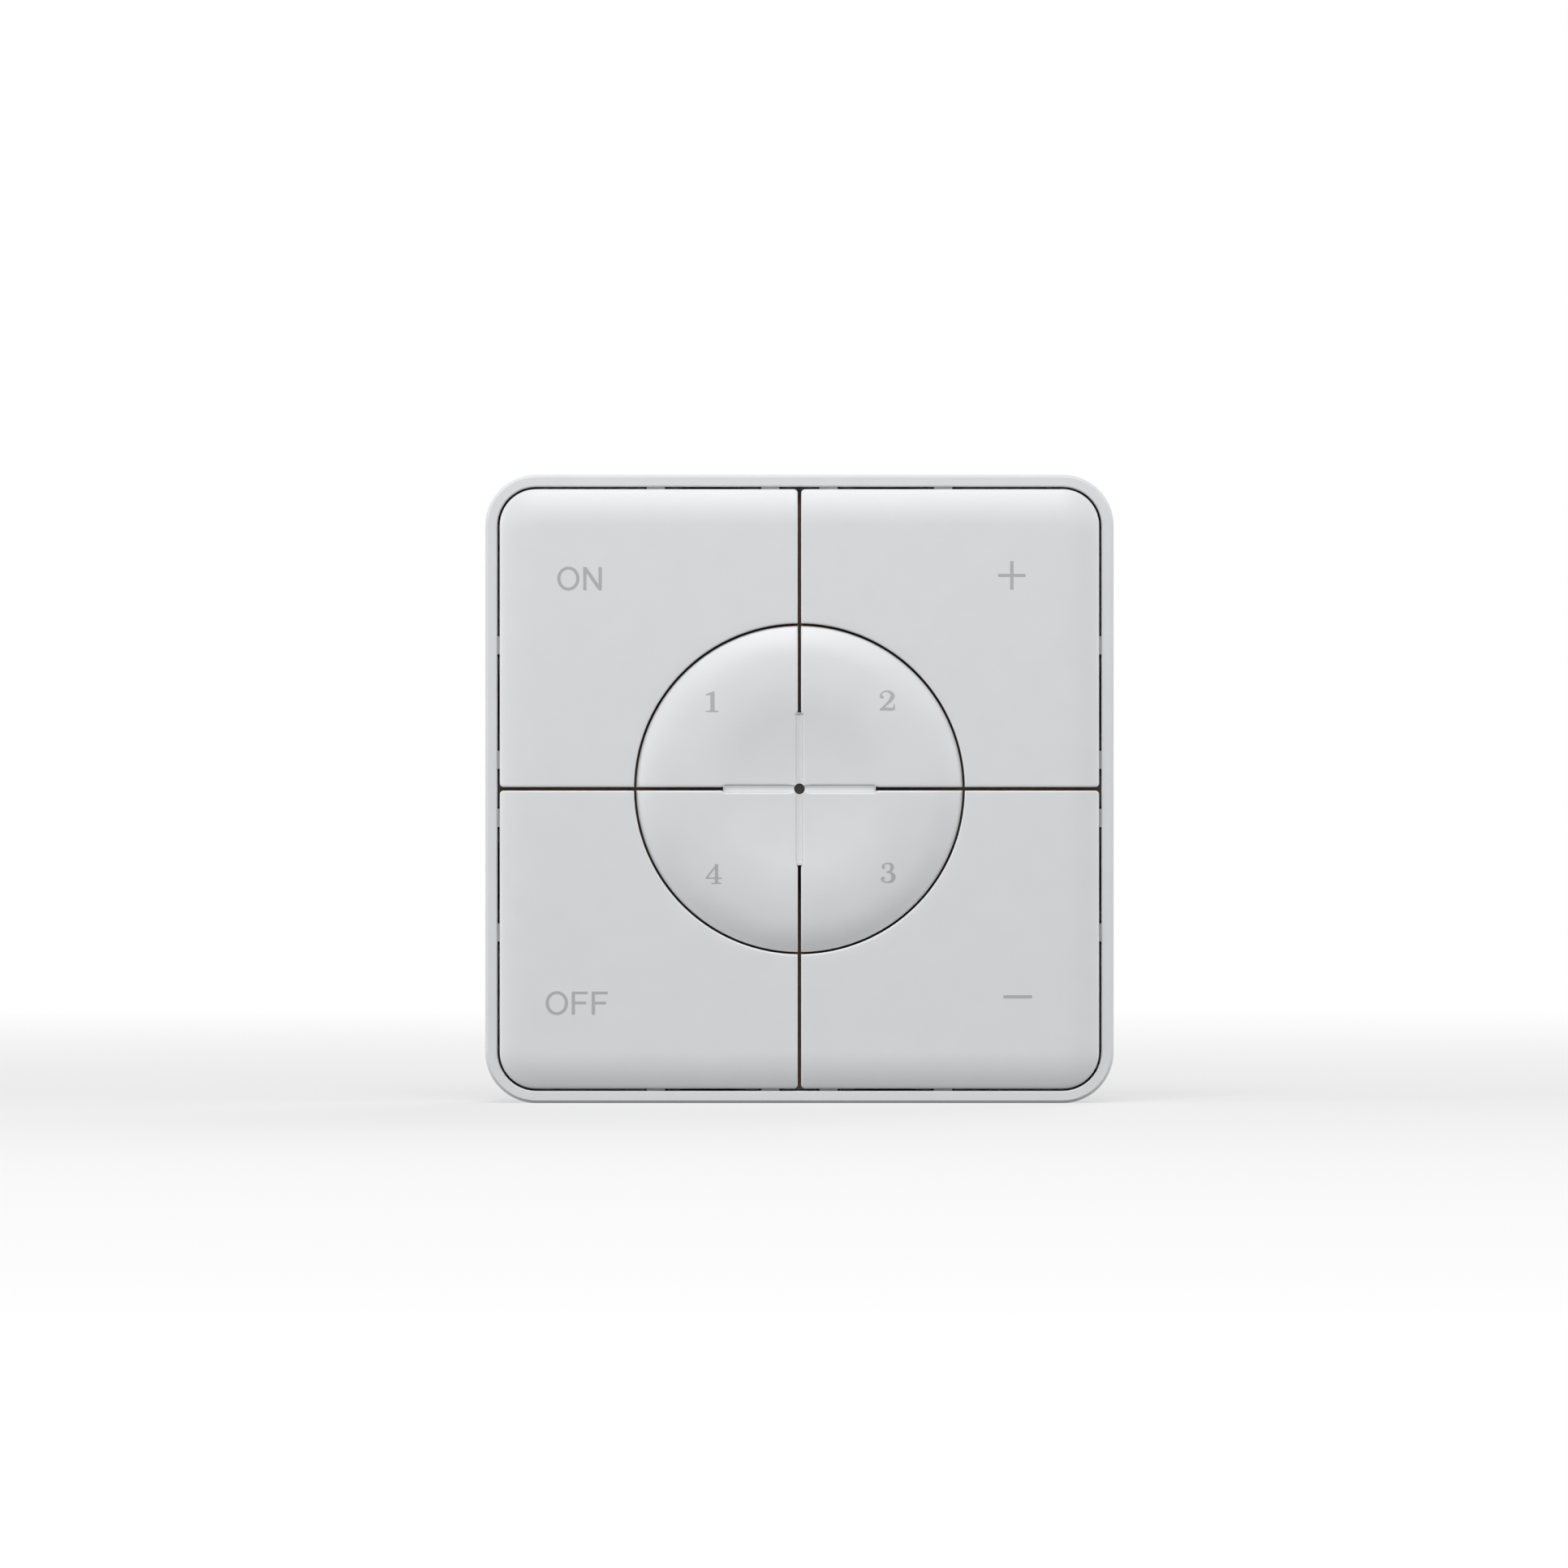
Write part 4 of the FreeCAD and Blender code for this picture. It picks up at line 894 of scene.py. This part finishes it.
lobe_tree = disc_key_tree()
for across, up, node in QUARTERS.values():
    values = {**DISC_NUMBERS, "Across": float(across), "Up": float(up), "Finish": white_plastic}
    mesh = run_tree(empty_object(), lobe_tree, values)
    mesh.name = f"{node}_shell"
    finish_mesh(mesh)
    fronts[node] = add_piece(f"{node}_shell", mesh, white_plastic, body_of(node), node)
print("a key of the disc has", len(mesh.polygons), "faces")

# %% [markdown]
# Between the keys of the disc runs a shallow cross groove. Its floor is part of the hub,
# and in the light it looks like a channel: dark under its upper lip and bright on its
# lower one. So a thin lining with a hollow face is laid on the hub's flat floor. It
# follows the dish, so a tree makes one arm of it as a grid, and gives it thickness.

# %% The tree for the groove's lining
LINING_THICKNESS = 0.3 * MM
LINING_COLUMNS = 10
LINING_ROWS = 40
LINING_END_ROOM = 0.17 * MM
GROOVE_NUMBERS = {
    "Across": 1.0,
    "Up": 0.0,
    "Inner end": 0.7 * MM,
    "Outer end": SLOT_END - LINING_END_ROOM,
    "Half": 0.4 * MM,
    "Depth": 0.18 * MM,
    "Rise": 0.08 * MM,
}


def lining_tree():
    """The tree that bends a grid into a hollow strip along one arm of the groove."""
    tree, given, size = start_tree("groove_lining", GROOVE_NUMBERS)
    side, along, _ = position_parts(tree)
    from_middle = side * size["Half"]
    inner = (size["Inner end"] * size["Inner end"] - from_middle * from_middle).root()
    radius = inner + (size["Outer end"] - inner) * (along + 0.5)
    x = radius * size["Across"] + from_middle * size["Up"]
    z = radius * size["Up"] - from_middle * size["Across"]
    level = disc_level(radius) - size["Depth"] + size["Rise"] * side * side
    bent = move_points(tree, flat_grid(tree, 2, LINING_COLUMNS, LINING_ROWS),
                       combine(tree, x, -level, z))
    strip = thicken(tree, bent, combine(tree, 0, LINING_THICKNESS, 0))
    end_tree(tree, strip, given["Finish"])
    return tree


# %% Lay the lining in the four arms
arm_tree = lining_tree()
for arm, across, up in (("right", 1, 0), ("up", 0, 1), ("left", -1, 0), ("down", 0, -1)):
    values = {**GROOVE_NUMBERS, "Across": float(across), "Up": float(up),
              "Finish": white_plastic}
    mesh = run_tree(empty_object(), arm_tree, values)
    mesh.name = f"groove_{arm}"
    finish_mesh(mesh)
    lining = add_piece(f"groove_{arm}", mesh, white_plastic, "base")
print("an arm of the lining has", len(mesh.polygons), "faces")

# %% [markdown]
# The signs are printed in grey ink: two words, plus and minus, and four numbers with
# serifs. A font would give them, but the numbers need a particular kind of letter, and
# a print lies on the surface, which is curved on the disc. So each sign is drawn as
# strokes, like a sign painter's. Each point of a stroke is its x and z from the sign's
# middle and half the stroke's width there, all in millimetres.


# %% Kinds of strokes
def bar(x1, z1, x2, z2, half):
    """A straight stroke."""
    return {"points": [(x1, z1, half), (x2, z2, half)], "round": False, "closed": False}


def bend(*points):
    """A stroke that bends smoothly and may swell."""
    return {"points": points, "round": True, "closed": False}


def letter_o(x, half_width):
    """A capital O about x, as one closed stroke that is widest at its sides."""
    points = [(x + half_width, 0, 0.2), (x, 1.34, 0.18),
              (x - half_width, 0, 0.2), (x, -1.34, 0.18)]
    return {"points": points, "round": True, "closed": True}


def letter_f(x):
    """A capital F from its stem's place."""
    return [bar(x, 1.47, x, -1.47, 0.2), bar(x, 1.3, x + 1.81, 1.3, 0.165),
            bar(x, 0.03, x + 1.61, 0.03, 0.165)]


# %% The signs: key, x and z of the middle, strokes
SIGNS = {
    "on": ("key_on", -27.97, 26.75, [
        letter_o(-1.42, 1.21), bar(0.68, 1.47, 0.68, -1.47, 0.2),
        bar(2.63, 1.47, 2.63, -1.47, 0.2), bar(0.7, 1.36, 2.61, -1.36, 0.2),
    ]),
    "off": ("key_off", -28.33, -27.24, [
        letter_o(-2.52, 1.22), *letter_f(-0.42), *letter_f(2.12),
    ]),
    "plus": ("key_plus", 27.01, 27.15, [
        bar(0, 1.81, 0, -1.81, 0.205), bar(-1.74, 0, 1.74, 0, 0.195),
    ]),
    "minus": ("key_minus", 27.76, -26.44, [bar(-1.81, 0, 1.81, 0, 0.2)]),
    "1": ("disc_key_1", -11.1, 11.07, [
        bar(0.05, 1.21, 0.05, -1.25, 0.264), bar(-0.8, -1.22, 0.81, -1.22, 0.077),
        bend((-0.8, 0.91, 0.055), (-0.4, 0.97, 0.143), (0.05, 1.17, 0.11), (0.28, 1.33, 0.022)),
        bend((-0.4, -1.19, 0.044), (0.05, -1.09, 0.154), (0.5, -1.19, 0.044)),
    ]),
    "2": ("disc_key_2", 11.15, 11.22, [
        bend((-0.62, 0.25, 0.055), (-0.64, 0.41, 0.275), (-0.82, 0.6, 0.11), (-0.62, 0.99, 0.077),
             (-0.1, 1.2, 0.088), (0.4, 1.05, 0.165), (0.68, 0.66, 0.275), (0.5, 0.16, 0.231),
             (-0.05, -0.45, 0.143), (-0.9, -1.19, 0.099)),
        bend((-0.9, -1.21, 0.066), (-0.4, -1.07, 0.187), (0.3, -1.1, 0.187), (0.85, -1.1, 0.154)),
        bend((0.8, -1.19, 0.154), (0.88, -0.78, 0.11), (0.92, -0.44, 0.066)),
    ]),
    "3": ("disc_key_3", 11.26, -10.67, [
        bend((-0.56, 0.49, 0.055), (-0.55, 0.64, 0.242), (-0.66, 0.84, 0.11), (-0.4, 1.13, 0.077),
             (0, 1.21, 0.088), (0.42, 1.03, 0.187), (0.52, 0.66, 0.242), (0.32, 0.25, 0.143),
             (-0.2, 0.1, 0.066)),
        bend((-0.2, 0.1, 0.066), (0.36, 0, 0.132), (0.68, -0.44, 0.275), (0.56, -0.93, 0.209),
             (0.06, -1.19, 0.099), (-0.44, -1.13, 0.088), (-0.76, -0.86, 0.121),
             (-0.62, -0.64, 0.253), (-0.62, -0.49, 0.055)),
    ]),
    "4": ("disc_key_4", -10.89, -10.8, [
        bar(0.35, 1.22, 0.35, -1.19, 0.209), bar(-1.02, -0.54, 1.02, -0.54, 0.094),
        bar(0.45, 1.24, -0.97, -0.56, 0.099), bar(-0.3, -1.2, 0.95, -1.2, 0.072),
        bend((0.05, -1.17, 0.044), (0.35, -1.07, 0.143), (0.65, -1.17, 0.044)),
    ]),
}
print("signs", list(SIGNS))

# %% [markdown]
# The strokes become curves, and a tree turns each curve into a ribbon, drops it onto
# its key with rays, and gives the ink its thickness. Each stroke lies a hair higher than
# the one before it, because two strokes in the same plane would flicker where they
# cross.

# %% Sizes of a printed sign
SIGN_NUMBERS = {
    "Middle X": 0.0,
    "Middle Z": 0.0,
    "Step": 0.1 * MM,
    "Lift": 0.004 * MM,
    "Ink": 0.012 * MM,
}
LAYER = 0.002 * MM
RAY_LENGTH = 2 * CREST_FRONT
print("the ink is", round(SIGN_NUMBERS["Ink"] / MM, 3), "mm thick")


# %% The tree for a printed sign
def sign_tree():
    """Strokes to ribbons, ribbons onto the key, and the ink's thickness."""
    tree, given, size = start_tree("printed_sign", SIGN_NUMBERS, objects=("Key",))
    nodes, links = tree.nodes, tree.links
    steps = nodes.new("GeometryNodeResampleCurve")
    steps.mode = "LENGTH"
    links.new(given["Geometry"], steps.inputs["Curve"])
    links.new(given["Step"], steps.inputs["Length"])
    across = nodes.new("GeometryNodeCurvePrimitiveLine")
    set_inputs(across, {"Start": (-1, 0, 0), "End": (1, 0, 0)})
    ribbon = nodes.new("GeometryNodeCurveToMesh")
    width = nodes.new("GeometryNodeInputRadius")
    links.new(steps.outputs["Curve"], ribbon.inputs["Curve"])
    links.new(across.outputs["Curve"], ribbon.inputs["Profile Curve"])
    links.new(width.outputs["Radius"], ribbon.inputs["Scale"])

    key = nodes.new("GeometryNodeObjectInfo")
    links.new(given["Key"], key.inputs["Object"])
    ray = nodes.new("GeometryNodeRaycast")
    drawn_x, drawn_z, layer = position_parts(tree)
    start = combine(tree, drawn_x + size["Middle X"], -RAY_LENGTH, drawn_z + size["Middle Z"])
    links.new(key.outputs["Geometry"], ray.inputs["Target Geometry"])
    links.new(start, ray.inputs["Source Position"])
    set_inputs(ray, {"Ray Direction": (0, 1, 0), "Ray Length": RAY_LENGTH})
    laid = move_points(tree, ribbon.outputs["Mesh"], ray.outputs["Hit Position"],
                       offset=combine(tree, 0, -(size["Lift"] + layer), 0))
    ink = thicken(tree, laid, combine(tree, 0, -size["Ink"], 0))
    end_tree(tree, ink, given["Finish"])
    return tree


# %% Strokes as curves
def stroke_curves(strokes):
    """A curve object whose splines are the strokes, drawn in its own x and y."""
    data = bpy.data.curves.new("strokes", "CURVE")
    data.dimensions = "3D"
    data.twist_mode = "Z_UP"
    for layer, stroke in enumerate(strokes):
        points = stroke["points"]
        spline = data.splines.new("BEZIER")
        spline.bezier_points.add(len(points) - 1)
        handle = "AUTO" if stroke["round"] else "VECTOR"
        for point, (x, z, half) in zip(spline.bezier_points, points):
            point.co = (x * MM, z * MM, layer * LAYER)
            point.radius = half * MM
            point.handle_left_type = handle
            point.handle_right_type = handle
        spline.use_cyclic_u = stroke["closed"]
    drawn = bpy.data.objects.new("strokes", data)
    bpy.context.collection.objects.link(drawn)
    return drawn


# %% Print the signs
INK_MERGE_DISTANCE = 0.0001 * MM
print_tree = sign_tree()
for name, (node, x, z, strokes) in SIGNS.items():
    target = fronts[node]
    values = {**SIGN_NUMBERS, "Middle X": x * MM, "Middle Z": z * MM,
              "Key": target, "Finish": sign_ink}
    mesh = run_tree(stroke_curves(strokes), print_tree, values)
    mesh.name = f"sign_{name}"
    finish_mesh(mesh, merge=INK_MERGE_DISTANCE)
    add_piece(f"sign_{name}", mesh, sign_ink, body_of(node))
    width = max(v.co.x for v in mesh.vertices) - min(v.co.x for v in mesh.vertices)
    print("sign", name, "is", round(width / MM, 2), "mm wide")

# %% [markdown]
# The other CAD nodes have the right shape, and few of them show: the frame, the deck
# behind the gaps, the hub between the keys of the disc and the light pipe in its eye.
# They keep their shape and get the finish of their record slot. The light pipe is clear, but at
# the bottom of a deep dark bore it looks nearly black, so its colour is painted shade: nearly
# black instead of clear.

# %% Finish the CAD nodes that stay
FINISHES = {
    "outer_frame": white_plastic,
    "disc_hub": white_plastic,
    "wall_plate": plate_plastic,
    "rear_housing": housing_plastic,
    "battery_cover": housing_plastic,
    "key_deck": deck_plastic,
    "coin_cell": cell_steel,
    "negative_contact": contact_metal,
    "positive_contact": contact_metal,
    "circuit_board": board_laminate,
    "radio_module": can_metal,
    "indicator_led": led_resin,
    "light_pipe": pipe_painted_shade,
    "switch": switch_plastic,
    "plunger": plunger_plastic,
}
for name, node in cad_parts.items():
    if name in fronts:
        continue
    kind = name.split("_")[0]
    node.data.materials.clear()
    node.data.materials.append(FINISHES.get(name) or FINISHES[kind])
print("nodes that stay", len(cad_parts) - len(fronts))

# %% [markdown]
# The photograph looks straight at the front from some way off, so the camera has a long
# lens and stands far away. It isn't turned: a shift of the lens moves the switch to its
# place in the picture, a few pixels right of the middle and below it.

# %% Camera
PHOTO_SCALE = 0.1033 * MM
PHOTO_PIXELS = 1932
OBJECT_RIGHT = 19
OBJECT_BELOW = 6
SENSOR_WIDTH = 36
FOCAL_LENGTH = 250
camera_data = bpy.data.cameras.new("camera")
camera_data.sensor_width = SENSOR_WIDTH
camera_data.lens = FOCAL_LENGTH
camera = bpy.data.objects.new("camera", camera_data)
bpy.context.collection.objects.link(camera)
distance = PHOTO_PIXELS * PHOTO_SCALE * FOCAL_LENGTH / SENSOR_WIDTH
camera.location = (0, -FRAME_FRONT - distance, 0)
camera.rotation_euler = (math.radians(90), 0, 0)
camera_data.shift_x = -OBJECT_RIGHT / PHOTO_PIXELS
camera_data.shift_y = OBJECT_BELOW / PHOTO_PIXELS
bpy.context.scene.camera = camera
print("camera distance", round(distance, 3))

# %% [markdown]
# Pale satin plastic shows its shape by soft shading, so all lamps are large. One stands
# high in front and lights the keys and the upper side of the disc, one at each side
# lights the rolled edges, and one behind is there for views of the back.


# %% Light
def soft_lamp(name, place, size, power):
    """A square area lamp that looks at the middle of the switch."""
    data = bpy.data.lights.new(name, "AREA")
    data.size = size
    data.energy = power
    lamp = bpy.data.objects.new(name, data)
    bpy.context.collection.objects.link(lamp)
    lamp.location = place
    lamp.rotation_euler = (-Vector(place)).to_track_quat("-Z", "Y").to_euler()


soft_lamp("high_softbox", (-0.03, -0.42, 0.5), 0.35, 2.9)
soft_lamp("left_strip", (-0.72, -0.3, 0.12), 0.35, 3.2)
soft_lamp("right_strip", (0.72, -0.28, 0.1), 0.35, 2.7)
soft_lamp("back_softbox", (0.35, 0.8, 0.5), 0.5, 4.5)
print("lamps", len(bpy.data.lights))

# %% [markdown]
# The room is pale for the camera and for reflections, but gives hardly any light, so
# that the lamps alone shade the switch, as in a studio. The floor does the same: it
# looks pale, throws little light back, and near the switch it is lit and shaded by the
# lamps. Further away a glow takes over, so that it runs into the room without a line.


# %% World and floor
def seen_directly(tree):
    """One for rays from the camera, reflections and glass, and nought for light."""
    path = tree.nodes.new("ShaderNodeLightPath")
    labels = ("Is Camera Ray", "Is Glossy Ray", "Is Transmission Ray")
    camera_ray, glossy, through = (Field(tree, path.outputs[label]) for label in labels)
    return camera_ray.most(glossy).most(through)


PALE = 1.0
ROOM_LIGHT = 0.1
FLOOR_SEEN = 0.25
FLOOR_LIT = 0.22
FLOOR_GLOW = 0.6
GLOW_START = 0.03
GLOW_WIDTH = 0.55
FLOOR_SIZE = 12
WHITE = (1, 1, 1, 1)
world = bpy.data.worlds.new("world")
bpy.context.scene.world = world
world.use_nodes = True
tree = world.node_tree
sky = tree.nodes["Background"]
strength = seen_directly(tree) * (PALE - ROOM_LIGHT) + ROOM_LIGHT
tree.links.new(strength.socket, sky.inputs["Strength"])
set_inputs(sky, {"Color": WHITE})

bpy.ops.mesh.primitive_plane_add(size=FLOOR_SIZE, location=(0, 0, frame_low.z))
floor = bpy.context.object
floor.name = "floor"
floor_finish, tree, floor_shader = new_material("pale_floor")
distance_node = tree.nodes.new("ShaderNodeVectorMath")
distance_node.operation = "LENGTH"
tree.links.new(object_place(tree), distance_node.inputs["Vector"])
away = Field(tree, distance_node.outputs["Value"])
share = ((away - GLOW_START) / GLOW_WIDTH).most(0).least(1)
seen = seen_directly(tree)
glow = (share * (PALE - FLOOR_GLOW) + FLOOR_GLOW) * seen
colour = (seen * (FLOOR_SEEN - FLOOR_LIT) + FLOOR_LIT) * (-share + 1)
tree.links.new(glow.socket, floor_shader.inputs["Emission Strength"])
tree.links.new(colour.socket, floor_shader.inputs["Base Color"])
set_inputs(floor_shader, {"Emission Color": WHITE, "Roughness": 1, "Specular IOR Level": 0})
floor.data.materials.append(floor_finish)
print("floor at", round(frame_low.z / MM, 2), "mm")

# %% [markdown]
# Colours are shown plainly, without a film look.

# %% Show colours plainly
bpy.context.scene.view_settings.view_transform = "Standard"
